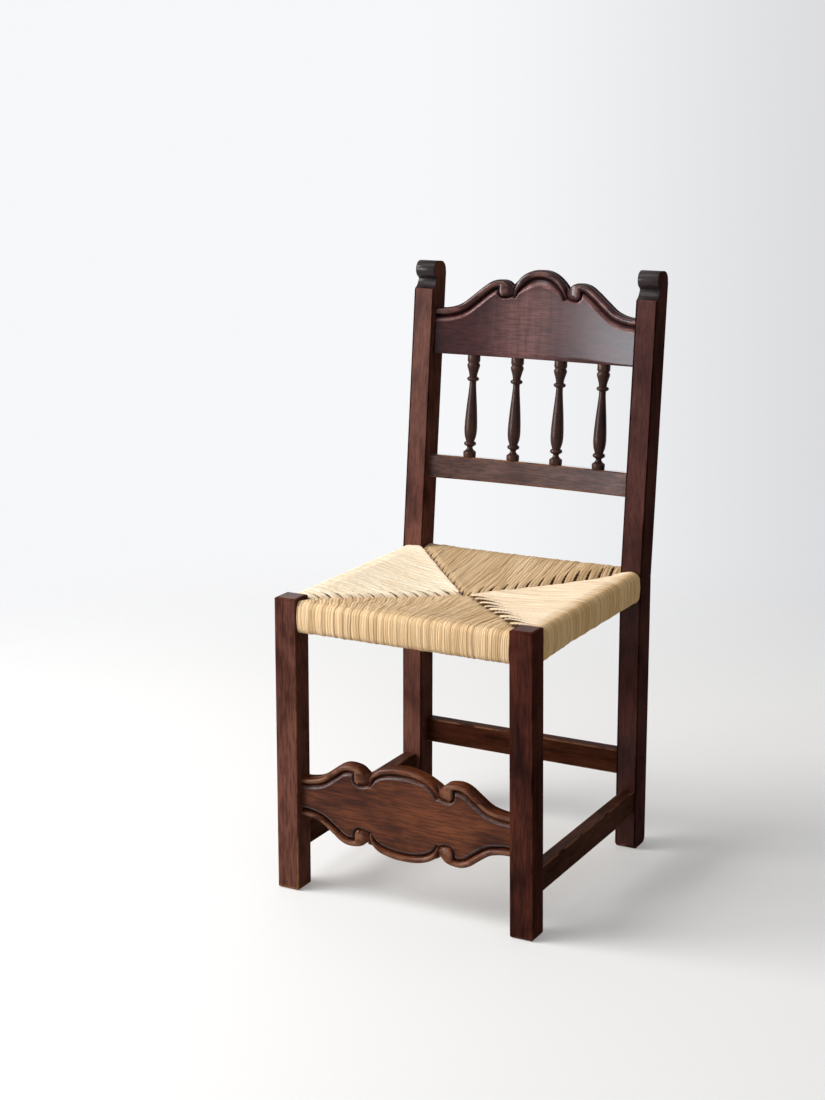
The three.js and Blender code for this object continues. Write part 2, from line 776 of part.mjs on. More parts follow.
function sideStretcher(i) {
  const { sign } = sides[i];
  const rail = railBack(
    sign * sideStretcherX - sideStretcherThickness / 2, sideStretcherBottom, sideStretcherThickness,
    sideStretcherHeight, arrisBevel, legDepth - overrun / 2, postFrontY(0) + overrun / 2);
  const shouldered = cutBy(rail, [legRoom[i], postRoom[i]]);
  return joined([shouldered, block(sideStretcherTenons[i].front), block(sideStretcherTenons[i].rear)]);
}

// Seat rails, with the rush wrapped round them

const wrap = rushThickness + glueGap;
const seatRailBottom = seatUnderside + wrap;
const seatRailTop = seatTop - wrap;
const seatRailHeight = seatRailTop - seatRailBottom;
const frontRailY = frontRushSetback + wrap;
const rearRushBack = kinkY + postDepth - rearRushInset;
const rearRailY = rearRushBack - wrap - seatRailThickness;
const sideRushOuter = frontWidth / 2 - sideRushInset;
const sideRailX = sideRushOuter - wrap - seatRailThickness / 2;
const lowTenon = [seatRailBottom + arrisBevel, seatRailBottom + arrisBevel + seatTenonHeight];
const highTenon = [seatRailTop - arrisBevel - seatTenonHeight, seatRailTop - arrisBevel];
const frontRailTenons = crossTenons(
  legInner(seatRailBottom), frontRailY + seatRailThickness / 2, ...lowTenon, tenonThickness);
const rearRailTenons = crossTenons(
  postInner(seatRailBottom), rearRailY + seatRailThickness / 2, ...lowTenon, tenonThickness);
const sideRailTenons = sides.map(({ sign }) => backTenons(sign * sideRailX, ...highTenon));

function seatRailAcross(y, inner, room, tenons) {
  const rail = railAcross(
    y, seatRailBottom, seatRailThickness, seatRailHeight, seatRailRound, inner + overrun / 2);
  return joined([cutBy(rail, room), ...tenons.map(block)]);
}

function seatRailBack(i) {
  const { sign } = sides[i];
  const rail = railBack(
    sign * sideRailX - seatRailThickness / 2, seatRailBottom, seatRailThickness, seatRailHeight,
    seatRailRound, legDepth - overrun / 2, kinkY + overrun / 2);
  const shouldered = cutBy(rail, [legRoom[i], postRoom[i]]);
  return joined([shouldered, block(sideRailTenons[i].front), block(sideRailTenons[i].rear)]);
}

// Rush: four panels, each wrapped round its rail and meeting its neighbours on the diagonals

const seatFront = frontRushSetback;
const seatMiddleY = (seatFront + rearRushBack) / 2;
const seatHalfDepth = (rearRushBack - seatFront) / 2;
const frontCorner = new THREE.Vector2(legInner(seatTop) - cornerGap, legDepth + cornerGap);
const rearCorner = new THREE.Vector2(postInner(seatTop) - cornerGap, kinkY - cornerGap);

// How far in from its outer face a panel lies level on its rail
const railCover = wrap + seatRailThickness + glueGap;

// How much of the sag there is at a place: none at the rails, all of it in the middle
function sagShare(x, y) {
  const across = Math.min(Math.abs(x) / (sideRushOuter - railCover), 1);
  const along = Math.min(Math.abs(y - seatMiddleY) / (seatHalfDepth - railCover), 1);
  return (1 - across * across) * (1 - along * along);
}

// Each panel is set out by how far a point lies along its rail and how far in from its outer face
const panels = [
  {
    name: 'front',
    ends: [-frontCorner.x, frontCorner.x],
    tip: [-bridgeLength / 2, bridgeLength / 2],
    reach: (along) => diagonalReach(along, frontCorner) - seatFront,
    at: (along, inward, z) => new THREE.Vector3(along, seatFront + inward, z),
  },
  {
    name: 'rear',
    ends: [-rearCorner.x, rearCorner.x],
    tip: [-bridgeLength / 2, bridgeLength / 2],
    reach: (along) => rearRushBack - diagonalReach(along, rearCorner),
    at: (along, inward, z) => new THREE.Vector3(along, rearRushBack - inward, z),
  },
  ...sides.map(({ name, sign }) => ({
    name,
    ends: [frontCorner.y, rearCorner.y],
    tip: [seatMiddleY, seatMiddleY],
    reach: (along) => sideRushOuter - sideReach(along),
    at: (along, inward, z) => new THREE.Vector3(sign * (sideRushOuter - inward), along, z),
  })),
];

// Where a front or rear panel stops, at a place along its rail
function diagonalReach(along, corner) {
  const share = Math.min(Math.max((corner.x - Math.abs(along)) / (corner.x - bridgeLength / 2), 0), 1);
  return corner.y + (seatMiddleY - corner.y) * share;
}

// Where a side panel stops, at a place along its rail
function sideReach(along) {
  const corner = along < seatMiddleY ? frontCorner : rearCorner;
  const share = Math.min(Math.max((along - corner.y) / (seatMiddleY - corner.y), 0), 1);
  return corner.x + (bridgeLength / 2 - corner.x) * share;
}

const sheetShares = [1, 0.66, 0.33, 0];

function rushRing(panel, along) {
  const tip = panel.reach(along) - glueGap / 2;
  const corner = (centreIn, centreZ, radius, from, to) => [0, 0.5, 1].map((share) => {
    const angle = from + (to - from) * share;
    return [centreIn - radius * Math.cos(angle), centreZ + radius * Math.sin(angle)];
  });
  const sheet = (level, drop) => [...sheetShares.map((share) => {
    const inward = railCover + (tip - railCover) * share;
    const place = panel.at(along, inward, 0);
    return [inward, level - drop * sagShare(place.x, place.y)];
  }), [rushCorner, level]];
  const innerCorner = rushCorner - rushThickness;
  return [
    ...sheet(seatTop, seatSag),
    ...corner(rushCorner, seatTop - rushCorner, rushCorner, Math.PI / 2, 0).slice(1),
    ...corner(rushCorner, seatUnderside + rushCorner, rushCorner, 0, -Math.PI / 2).slice(0, -1),
    ...sheet(seatUnderside, -undersideRise).reverse(),
    ...sheet(seatUnderside + rushThickness, -undersideRise),
    ...corner(rushCorner, seatUnderside + rushCorner, innerCorner, -Math.PI / 2, 0).slice(1),
    ...corner(rushCorner, seatTop - rushCorner, innerCorner, 0, Math.PI / 2).slice(0, -1),
    ...sheet(seatTop - rushThickness, seatSag).reverse(),
  ];
}

function loftAlong(panel, ringAt, stations) {
  const rings = [];
  const flats = [];
  for (const along of stations) {
    const flat = ringAt(panel, along);
    flats.push(flat.map(([inward, z]) => new THREE.Vector2(inward, z)));
    rings.push(flat.map(([inward, z]) => panel.at(along, inward, z)));
  }
  return loft(rings, flats[0], flats[flats.length - 1]);
}

// Even steps from each end of a panel to its tip, or to the two ends of a blunt tip
function stationsOf(panel, from, to) {
  const [near, far] = panel.tip;
  const steps = Array.from({ length: rushSteps / 2 }, (_, i) => 2 * i / rushSteps);
  const out = steps.map((share) => from + (near - from) * share);
  const home = steps.map((share) => to + (far - to) * share).reverse();
  return [...out, ...new Set([near, far]), ...home];
}

function rushPanel(panel) {
  return loftAlong(panel, rushRing, stationsOf(panel, ...panel.ends));
}

// Packing: a wedge pushed in between the two layers of rush, from the rail to near the tip
function packRing(panel, along) {
  const start = wrap + seatRailThickness + packClearance;
  const tip = panel.reach(along) - packInset;
  const room = rushThickness + packClearance;
  const upper = sheetShares.toReversed().map((share) => {
    const inward = start + (tip - start) * share;
    const place = panel.at(along, inward, 0);
    const sag = sagShare(place.x, place.y);
    return [inward, seatTop - room - seatSag * sag, seatUnderside + room + undersideRise * sag];
  });
  return [
    ...upper.map(([inward, high]) => [inward, high]),
    ...upper.map(([inward, , low]) => [inward, low]).reverse(),
  ];
}

const packEndShare = 0.13;

function packWedge(panel) {
  const length = panel.ends[1] - panel.ends[0];
  return loftAlong(panel, packRing, stationsOf(
    panel, panel.ends[0] + packEndShare * length, panel.ends[1] - packEndShare * length));
}

// The chair

const chair = new THREE.Group();
const back = new THREE.Group();
back.position.set(0, kinkY, kinkHeight);
back.rotation.x = -rakeAngle;
chair.add(back);

function piece(name, shape, material, parent = chair) {
  const mesh = new THREE.Mesh(shape.isBufferGeometry ? shape : geometryOf(shape), material);
  mesh.name = name;
  parent.add(mesh);
  return mesh;
}

sides.forEach(({ name, sign }, i) => {
  const legMortises = [
    stretcherTenons[i], frontRailTenons[i], sideStretcherTenons[i].front, sideRailTenons[i].front,
  ].map(mortiseFor);
  piece(`front_leg_${name}`, cutBy(frontLeg(sign, 0), legMortises), wood);
  const postMortises = [
    rearStretcherTenons[i], rearRailTenons[i], sideStretcherTenons[i].rear, sideRailTenons[i].rear,
  ].map(mortiseFor);
  const backMortises = [crestTenons[i], lowerRailTenons[i]]
    .map((tenon) => moved(mortiseFor(tenon), rakedFrame));
  piece(`rear_post_${name}`, cutBy(rearPost(sign, 0), [...postMortises, ...backMortises]), wood);
  piece(`side_stretcher_${name}`, sideStretcher(i), wood);
  piece(`seat_rail_${name}`, seatRailBack(i), wood);
});

piece('crest_rail', crestRail(), carvedWood, back);
piece('lower_back_rail', lowerBackRail(), wood, back);
spindleXs.forEach((x, i) => {
  const turned = piece(`spindle_${i + 1}`, spindle(), wood, back);
  turned.position.set(x, spindleDepth(x), lowerRailTop + glueGap);
});
piece('front_stretcher', frontStretcher(), carvedWood);
piece('rear_stretcher', rearStretcher(), wood);
piece('seat_rail_front', seatRailAcross(frontRailY, legInner(seatRailTop), legRoom, frontRailTenons), wood);
piece('seat_rail_rear', seatRailAcross(rearRailY, postInner(seatRailTop), postRoom, rearRailTenons), wood);
for (const panel of panels) {
  piece(`rush_${panel.name}`, rushPanel(panel), rush);
  piece(`packing_${panel.name}`, packWedge(panel), packing);
}

// The origin is on the floor, under the middle of the whole chair
const extent = new THREE.Box3().setFromObject(chair);
chair.position.y = -(extent.min.y + extent.max.y) / 2;

export default chair;
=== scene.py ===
# A dining chair in stained walnut with a carved crest rail, four turned spindles, a carved
# front stretcher and a seat woven of twisted rush. Every piece is drawn in millimetres in
# the chair's own frame, x to the right, y to the back and z up, and turned into metres.
import math

import bmesh
import bpy
import numpy as np
from mathutils import Matrix, Vector


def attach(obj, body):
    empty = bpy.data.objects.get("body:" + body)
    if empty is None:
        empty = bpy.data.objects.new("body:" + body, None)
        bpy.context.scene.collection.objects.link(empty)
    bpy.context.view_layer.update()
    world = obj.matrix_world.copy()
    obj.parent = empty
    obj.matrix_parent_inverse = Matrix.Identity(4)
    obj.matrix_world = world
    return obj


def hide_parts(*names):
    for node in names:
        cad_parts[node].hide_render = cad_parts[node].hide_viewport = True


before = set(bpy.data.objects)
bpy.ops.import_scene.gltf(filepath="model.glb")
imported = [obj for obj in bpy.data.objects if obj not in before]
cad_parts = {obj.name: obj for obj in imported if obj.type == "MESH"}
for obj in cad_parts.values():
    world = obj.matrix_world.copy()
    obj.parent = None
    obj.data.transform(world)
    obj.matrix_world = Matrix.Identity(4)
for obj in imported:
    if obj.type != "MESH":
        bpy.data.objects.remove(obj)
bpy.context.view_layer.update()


# The camera stands to the right of the chair and a little above its crest, and looks down
# at the seat through a long lens.
def added(name, data):
    """A new object in the scene."""
    thing = bpy.data.objects.new(name, data)
    bpy.context.scene.collection.objects.link(thing)
    return thing


camera_data = bpy.data.cameras.new("camera")
camera_data.sensor_fit = "AUTO"
camera_data.sensor_width = 36
camera_data.lens = 65.37
camera_data.shift_x = 0.0020
camera_data.shift_y = 0.0090
camera_data.clip_end = 100
camera_place = (1.3161, -2.6122, 1.2126)
yaw, pitch, roll = 0.5001, 0.2448, -0.0060
look = Vector((-math.sin(yaw) * math.cos(pitch), math.cos(yaw) * math.cos(pitch), -math.sin(pitch)))
level = Vector((math.cos(yaw), math.sin(yaw), 0))
upright = level.cross(look)
camera_right = math.cos(roll) * level + math.sin(roll) * upright
camera_up = math.cos(roll) * upright - math.sin(roll) * level
camera = added("camera", camera_data)
camera_axes = Matrix((camera_right, camera_up, -look)).transposed()
camera.matrix_world = Matrix.Translation(camera_place) @ camera_axes.to_4x4()
bpy.context.scene.camera = camera


# Front legs: two sawn walnut posts, a little wider apart on the floor than at the seat. The
# arrises are eased and worn pale, the top is chamfered, and the stain is dark and satin.
class Wire:
    """A value in a finish: one output of its nodes. Arithmetic on it adds Math nodes."""

    def __init__(self, tree, socket):
        self.tree, self.socket = tree, socket

    def node(self, kind, settings, inputs, output=0):
        made = self.tree.nodes.new(kind)
        for setting, value in settings.items():
            setattr(made, setting, value)
        for name, value in inputs.items():
            if isinstance(value, Wire):
                self.tree.links.new(value.socket, made.inputs[name])
            elif isinstance(value, tuple) and made.inputs[name].type == "RGBA":
                made.inputs[name].default_value = (*value, 1)
            else:
                made.inputs[name].default_value = value
        return Wire(self.tree, made.outputs[output])

    def sum(self, operation, first, second=0.0):
        return self.node("ShaderNodeMath", {"operation": operation}, {0: first, 1: second})

    def __add__(self, other):
        return self.sum("ADD", self, other)

    def __sub__(self, other):
        return self.sum("SUBTRACT", self, other)

    def __rsub__(self, other):
        return self.sum("SUBTRACT", other, self)

    def __mul__(self, other):
        return self.sum("MULTIPLY", self, other)

    def __pow__(self, other):
        return self.sum("POWER", self, other)

    __radd__ = __add__

    def between(self, low, high):
        """0 below low, 1 above high, and an even rise between them."""
        return self.node("ShaderNodeMapRange", {"interpolation_type": "SMOOTHSTEP"},
                         {"Value": self, "From Min": low, "From Max": high})

    def mix(self, first, second):
        """The first colour where this value is 0, and the second where it is 1."""
        return self.node("ShaderNodeMix", {"data_type": "RGBA"}, {0: self, 6: first, 7: second}, 2)

    def stretched(self, scale):
        return self.node("ShaderNodeVectorMath", {"operation": "MULTIPLY"}, {0: self, 1: scale})

    def noise(self, detail=3.0, roughness=0.55):
        """Noise of one cycle to the unit, read at this place."""
        return self.node("ShaderNodeTexNoise", {},
                         {"Vector": self, "Scale": 1.0, "Detail": detail, "Roughness": roughness})

    def attribute(self, name):
        return self.node("ShaderNodeAttribute", {"attribute_name": name}, {}, "Fac")

    def shown(self, output="ShaderNodeOutputMaterial"):
        """Makes this shader the one that its tree puts out."""
        self.tree.links.new(self.socket, self.tree.nodes.new(output).inputs["Surface"])


def new_finish(name):
    """A bare material, and the place of a point on the piece that wears it."""
    material = bpy.data.materials.new(name)
    material.use_nodes = True
    material.node_tree.nodes.clear()
    place = Wire(material.node_tree, None).node("ShaderNodeTexCoord", {}, {}, "Object")
    return material, place


def surface(place, colour, roughness, relief, depth, **others):
    """One Principled shader, with its colour, its roughness, its relief and other sockets."""
    bump = place.node("ShaderNodeBump", {}, {"Height": relief, "Distance": depth, "Strength": 1.0})
    return place.node("ShaderNodeBsdfPrincipled", {}, {
        "Base Color": colour, "Roughness": roughness, "Normal": bump,
        **{name.replace("_", " "): value for name, value in others.items()}})


WORN, HOLLOW, FADE_AND_SHEEN, WAXED = "worn", "hollow", "fade_and_sheen", "waxed"
FRONT_WAX, TOP_WAX = 1.0, 6.0
ACROSS, FORE_AND_AFT, UPRIGHT = 0, 1, 2
GRIME_AND_SHADE, BARE_WOOD, FADE_AND_SHEEN_RED = (0.006, 0.004, 0.0035), (0.20, 0.088, 0.045), (0.165, 0.048, 0.040)


def stained_wood(name, along, deep, body, bright, seed, gloss, grain=0.35, polish=0.30,
                 bare=BARE_WOOD, fade_and_sheen=FADE_AND_SHEEN_RED):
    """Walnut under a dark stain, with its grain along one axis of the chair. Its marks show
    bare wood where it is worn, grime and painted shade in hollows, fading of the stain and a
    painted sheen on carved lips, and wax where it is polished."""
    material, place = new_finish(name)
    start = (seed, seed, seed)
    shifted = place.node("ShaderNodeVectorMath", {"operation": "ADD"}, {0: place, 1: start})

    def grained(across, lengthways):
        return shifted.stretched(tuple(lengthways if axis == along else across for axis in range(3)))

    cloud = grained(14, 9).noise(3, 0.6).between(0.34, 0.68)
    figure = grained(110, 12).noise(3, 0.6).between(0.32, 0.70)
    streak = grained(430, 36).noise(2, 0.6).between(0.36, 0.62)
    pores = grained(1100, 55).noise(1).between(0.62, 0.70)
    rubbed = place.attribute(WORN) * grained(70, 30).noise(3).between(0.38, 0.58)
    hollow = place.attribute(HOLLOW)
    fade_and_sheen_mask = place.attribute(FADE_AND_SHEEN) * (0.55 + grained(9, 85).noise(3).between(0.35, 0.65) * 0.45)
    wood = figure.mix(deep, body)
    wood = (cloud * 0.8).mix(wood, bright)
    # Fading of the stain on the field, and a painted sheen of pale grey-lilac on the carved lips.
    wood = (fade_and_sheen_mask * 0.9).mix(wood, fade_and_sheen)
    wood = ((1 - streak) * grain).mix(wood, tuple(0.3 * c for c in deep))
    wood = (pores * 0.3).mix(wood, tuple(0.4 * c for c in deep))
    wood = (rubbed * 0.75).mix(wood, bare)
    # Grime and painted shade: hollows go near black where the carving would fall into shade.
    wood = (hollow * 0.9).mix(wood, GRIME_AND_SHADE)
    relief = figure * 0.3 + streak * 0.5 - pores * 0.4
    wax = place.attribute(WAXED) * gloss
    surface(place, wood, 0.5 + streak * 0.08 + rubbed * 0.1, relief, 0.00010,
            Specular_IOR_Level=0.003, Coat_Weight=wax, Coat_Roughness=polish).shown()
    return material


def made_of(mesh, name, material):
    """A bmesh becomes an object of one material."""
    data = bpy.data.meshes.new(name)
    mesh.to_mesh(data)
    mesh.free()
    data.materials.append(material)
    return added(name, data)


def chair_piece(mesh, name, material, node, sharp=35):
    """A bmesh in millimetres becomes a piece that rides on the chair and stands for a node. An
    edge where the surface turns by more than the sharp angle, in degrees, shows as an edge."""
    bmesh.ops.scale(mesh, vec=(0.001,) * 3, verts=mesh.verts)
    bmesh.ops.recalc_face_normals(mesh, faces=mesh.faces)
    piece = made_of(mesh, name, material)
    piece.data.shade_smooth()
    piece.data.set_sharp_from_angle(angle=math.radians(sharp))
    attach(piece, "root")
    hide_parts(node)
    return piece


def eased(mesh, edges, width, segments=3):
    """Takes the sharpness off edges, as a scraper and years of hands do."""
    bmesh.ops.bevel(mesh, geom=edges, offset=width, offset_type="OFFSET", affect="EDGES",
                    segments=segments, profile=0.5, material=-1, clamp_overlap=True)


def timber(low, high):
    """A squared timber between two corners."""
    mesh = bmesh.new()
    bmesh.ops.create_cube(mesh, size=1)
    bmesh.ops.scale(mesh, vec=[b - a for a, b in zip(low, high)], verts=mesh.verts)
    bmesh.ops.translate(mesh, vec=[(a + b) / 2 for a, b in zip(low, high)], verts=mesh.verts)
    return mesh


def mark_wear(mesh, inset, least=400):
    """Insets the faces of at least that area, and marks the strip outside the inset as worn.
    What is inside it is waxed where it looks to the front, and more where it looks up."""
    worn, waxed = mesh.verts.layers.float.new(WORN), mesh.verts.layers.float.new(WAXED)
    broad = [f for f in mesh.faces if f.calc_area() > least]
    bmesh.ops.inset_individual(mesh, faces=broad, thickness=inset, depth=0)
    mesh.normal_update()
    for v in mesh.verts:
        v[worn] = 1.0
    for f in broad:
        for v in f.verts:
            v[worn], v[waxed] = 0.0, FRONT_WAX * (f.normal.y < -0.5) + TOP_WAX * (f.normal.z > 0.5)


LEG_WIDTH, LEG_FRONT, LEG_BACK, LEG_HEIGHT = 36, -238.1, -201.6, 455
LEG_CENTRE, FOOT_SPLAY = 190, 4.2
LEG_ARRIS, LEG_TOP_CHAMFER, FOOT_CHAMFER = 1.5, 3, 4
LEG_WEAR, LESS_AT_OTHER_CORNERS, LESS_AT_FEET = {"left": 1.2, "right": 0.6}, 0.5, 0.5
leg_finishes = {
    "left": stained_wood(
        "walnut_leg_left", UPRIGHT, deep=(0.024, 0.007, 0.005), body=(0.080, 0.025, 0.017),
        bright=(0.175, 0.066, 0.045), seed=0.0, gloss=0.10, grain=0.45, bare=(0.40, 0.19, 0.065)),
    "right": stained_wood(
        "walnut_leg_right", UPRIGHT, deep=(0.016, 0.0042, 0.003), body=(0.054, 0.0125, 0.0075),
        bright=(0.105, 0.028, 0.017), seed=1.7, gloss=0.10, grain=0.45, bare=(0.26, 0.10, 0.05)),
}
for side, sign in (("left", -1), ("right", 1)):
    leg = timber((-LEG_WIDTH / 2, LEG_FRONT, 0), (LEG_WIDTH / 2, LEG_BACK, LEG_HEIGHT))
    eased(leg, [e for e in leg.edges if min(v.co.z for v in e.verts) > LEG_HEIGHT - 1], LEG_TOP_CHAMFER)
    eased(leg, [e for e in leg.edges if max(v.co.z for v in e.verts) < 1], FOOT_CHAMFER, 2)
    eased(leg, [e for e in leg.edges if e.calc_length() > LEG_HEIGHT / 2], LEG_ARRIS)
    mark_wear(leg, inset=2.6)
    worn = leg.verts.layers.float[WORN]
    for v in leg.verts:
        v[worn] *= LEG_WEAR[side] * (1 - (v.co.z / LEG_HEIGHT) ** 2)
        if v.co.x < 0 or v.co.y > LEG_FRONT + 10:
            v[worn] *= LESS_AT_OTHER_CORNERS
        if v.co.z < FOOT_CHAMFER + 2:
            v[worn] *= LESS_AT_FEET
        v.co.x += sign * (LEG_CENTRE + FOOT_SPLAY * (1 - v.co.z / LEG_HEIGHT))
    chair_piece(leg, f"leg_front_{side}", leg_finishes[side], f"front_leg_{side}")


# Rear posts: each sawn from one plank, upright to the seat and raked back above it. The top
# steps back to a neck and ends in a roll that is carved straight across the post.
RAKE = math.radians(5.8)
KINK_Y, KINK_Z = 151.78, 441
POST_FRONT, POST_WIDTH, POST_DEPTH = 148.48, 34, 40.5
POST_CENTRE, POST_LEAN = 192, 2.5 / 866
POST_FACE, ROLL_RISE, ROLL_RADIUS, BACK_RADIUS = 423, 30.5, 14, 15
ROLL_CURL, POST_ARRIS, POST_CHAMFER = 1.40 * math.pi, 1.4, 5
NECK = [(11.2, 15.6), (11.0, 14.2), (10.0, 11.6), (8.4, 8.2), (5.8, 4.6), (3.0, 2.0), (1.0, 0.8), (0, 0)]


def raked(depth, rise):
    """A place on the raked back, as y and z; depth runs back from the front faces of the posts."""
    return (KINK_Y + depth * math.cos(RAKE) + rise * math.sin(RAKE),
            KINK_Z + rise * math.cos(RAKE) - depth * math.sin(RAKE))


def cut(mesh, place, towards, clear_outer=False):
    """Cuts a mesh across at a place, and may clear what lies beyond the cut."""
    bmesh.ops.bisect_plane(mesh, geom=[*mesh.verts, *mesh.edges, *mesh.faces],
                           plane_co=place, plane_no=towards, clear_outer=clear_outer)


def arc(centre, radius, start, end, steps):
    """Points along an arc, by its first and last angle."""
    angles = np.linspace(start, end, steps + 1)
    return [(centre[0] + radius * math.cos(a), centre[1] + radius * math.sin(a)) for a in angles]


roll_top = POST_FACE + ROLL_RISE + ROLL_RADIUS
post_back = POST_FRONT + POST_DEPTH
above_seat = [
    (POST_DEPTH, 0),
    *arc((POST_DEPTH - BACK_RADIUS, roll_top - BACK_RADIUS), BACK_RADIUS, 0, math.pi / 2, 14),
    *arc((ROLL_RADIUS, POST_FACE + ROLL_RISE), ROLL_RADIUS, math.pi / 2, ROLL_CURL, 26),
    *((depth, POST_FACE + rise) for depth, rise in NECK), (0, 0),
]
post_side = [
    (POST_FRONT, POST_CHAMFER), (POST_FRONT + POST_CHAMFER, 0),
    (post_back - POST_CHAMFER, 0), (post_back, POST_CHAMFER),
    *(raked(depth, rise) for depth, rise in above_seat),
]
post_finishes = {
    "left": stained_wood(
        "walnut_post_left", UPRIGHT, deep=(0.046, 0.015, 0.011), body=(0.110, 0.036, 0.024),
        bright=(0.175, 0.066, 0.044), seed=4.4, gloss=0.12, bare=(0.30, 0.14, 0.10)),
    "right": stained_wood(
        "walnut_post_right", UPRIGHT, deep=(0.027, 0.0078, 0.0062), body=(0.059, 0.0158, 0.0118),
        bright=(0.096, 0.032, 0.025), seed=6.1, gloss=0.25, bare=(0.26, 0.11, 0.09)),
}
darkened_roll = stained_wood(
    "darkened_roll", ACROSS, deep=(0.012, 0.008, 0.008), body=(0.030, 0.020, 0.020),
    bright=(0.050, 0.036, 0.037), seed=7.7, gloss=0.3, grain=0.3, polish=0.2)
face_top = Vector((0, *raked(0, POST_FACE - 0.4)))
up_post = (Vector((0, *raked(0, POST_FACE))) - face_top).normalized()
for side, sign in (("left", -1), ("right", 1)):
    post = bmesh.new()
    outline = post.faces.new([post.verts.new((-POST_WIDTH / 2, y, z)) for y, z in post_side])
    sawn = bmesh.ops.extrude_face_region(post, geom=[outline])
    bmesh.ops.translate(post, vec=(POST_WIDTH, 0, 0),
                        verts=[v for v in sawn["geom"] if isinstance(v, bmesh.types.BMVert)])
    eased(post, [e for e in post.edges if abs(e.verts[0].co.x - e.verts[1].co.x) < 1], POST_ARRIS)
    mark_wear(post, inset=2.2, least=300)
    worn, waxed = post.verts.layers.float[WORN], post.verts.layers.float[WAXED]
    cut(post, face_top, up_post)
    for v in post.verts:
        above = (v.co - face_top).dot(up_post)
        if above > 0.1:
            v[worn], v[waxed] = 0.0, float(abs(v.co.x) < POST_WIDTH / 2 - 1)
    for f in post.faces:
        f.normal_update()
        above = (f.calc_center_median() - face_top).dot(up_post)
        f.material_index = int(above > 0 and abs(f.normal.x) < 0.8 and f.normal.y < 0.6)
    for v in post.verts:
        v.co.x += sign * (POST_CENTRE - POST_LEAN * v.co.z)
    topped = chair_piece(post, f"post_rear_{side}", post_finishes[side], f"rear_post_{side}")
    topped.data.materials.append(darkened_roll)


# Side and rear stretchers, and the four rails inside the seat: plain planed bars with eased
# arrises, tenoned into the legs and posts. The seat rails keep their solids under the rush.
BAR_ARRIS, BAR_WEAR = 1.5, 1.6
SIDE_BAR_INNER, SIDE_BAR_OUTER, SIDE_BAR_LOW, SIDE_BAR_HIGH = 185, 205, 58, 96.3
REAR_BAR_HALF, REAR_BAR_FRONT, REAR_BAR_BACK, REAR_BAR_LOW, REAR_BAR_HIGH = 176, 169.5, 189.5, 113.8, 153.2


def planed_bar(low, high):
    """A timber whose long arrises are eased and rubbed."""
    bar = timber(low, high)
    longest = max(e.calc_length() for e in bar.edges)
    eased(bar, [e for e in bar.edges if e.calc_length() > longest / 2], BAR_ARRIS)
    mark_wear(bar, BAR_WEAR)
    return bar


walnut_lengthways = stained_wood(
    "walnut_fore_and_aft", FORE_AND_AFT, deep=(0.030, 0.010, 0.006), body=(0.068, 0.024, 0.014),
    bright=(0.105, 0.042, 0.026), seed=3.1, gloss=0.015)
walnut_across = stained_wood(
    "walnut_across", ACROSS, deep=(0.024, 0.007, 0.0035), body=(0.058, 0.016, 0.0075),
    bright=(0.092, 0.028, 0.014), seed=5.7, gloss=0.02)
for side, sign in (("left", -1), ("right", 1)):
    inner, outer = sorted((sign * SIDE_BAR_INNER, sign * SIDE_BAR_OUTER))
    bar = planed_bar((inner, LEG_BACK - 1.5, SIDE_BAR_LOW), (outer, POST_FRONT + 2, SIDE_BAR_HIGH))
    chair_piece(bar, f"stretcher_side_{side}", walnut_lengthways, f"side_stretcher_{side}")
bar = planed_bar(
    (-REAR_BAR_HALF, REAR_BAR_FRONT, REAR_BAR_LOW), (REAR_BAR_HALF, REAR_BAR_BACK, REAR_BAR_HIGH))
chair_piece(bar, "stretcher_rear", walnut_across, "rear_stretcher")
for name, finish in (("front", walnut_across), ("rear", walnut_across),
                     ("left", walnut_lengthways), ("right", walnut_lengthways)):
    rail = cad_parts[f"seat_rail_{name}"]
    rail.data.materials.clear()
    rail.data.materials.append(finish)


# Lower back rail: a plain bar, planed to the same bow as the crest rail above it, with its
# edges eased and rubbed.
BACK_BOW, BACK_HALF, BACK_SETBACK = 12, 172.6, 11
LOWER_RAIL_LOW, LOWER_RAIL_HIGH, LOWER_RAIL_THICK = 122, 159.2, 20


def bow(x):
    """How far the middle of the back stands behind its ends."""
    return BACK_BOW * (1 - np.clip(np.abs(x) / BACK_HALF, 0, 1) ** 2)


def fill_holes(mesh):
    """Closes a mesh wherever it is open."""
    bmesh.ops.holes_fill(mesh, edges=[e for e in mesh.edges if e.is_boundary], sides=0)


def skin(places, marks=None):
    """A closed skin: a grid whose rows wrap round a section, and whose two ends are filled.
    Places is an array of rows by stations by xyz, and marks names values that it carries."""
    rows, stations = places.shape[:2]
    mesh = bmesh.new()
    bmesh.ops.create_grid(mesh, x_segments=stations - 1, y_segments=rows, size=1)
    layers = {name: mesh.verts.layers.float.new(name) for name in marks or {}}
    for v in mesh.verts:
        j = round((v.co.x + 1) / 2 * (stations - 1))
        i = round((v.co.y + 1) / 2 * rows) % rows
        v.co = places[i, j]
        for name, layer in layers.items():
            v[layer] = marks[name][i, j]
    seam = [v for v in mesh.verts if v.is_boundary]
    bmesh.ops.remove_doubles(mesh, verts=seam, dist=1e-4)
    fill_holes(mesh)
    return mesh


def upright_board(mesh):
    """Leans a board that was drawn by depth (y) and rise (z) into the raked back."""
    for v in mesh.verts:
        v.co.y, v.co.z = raked(v.co.y, v.co.z)


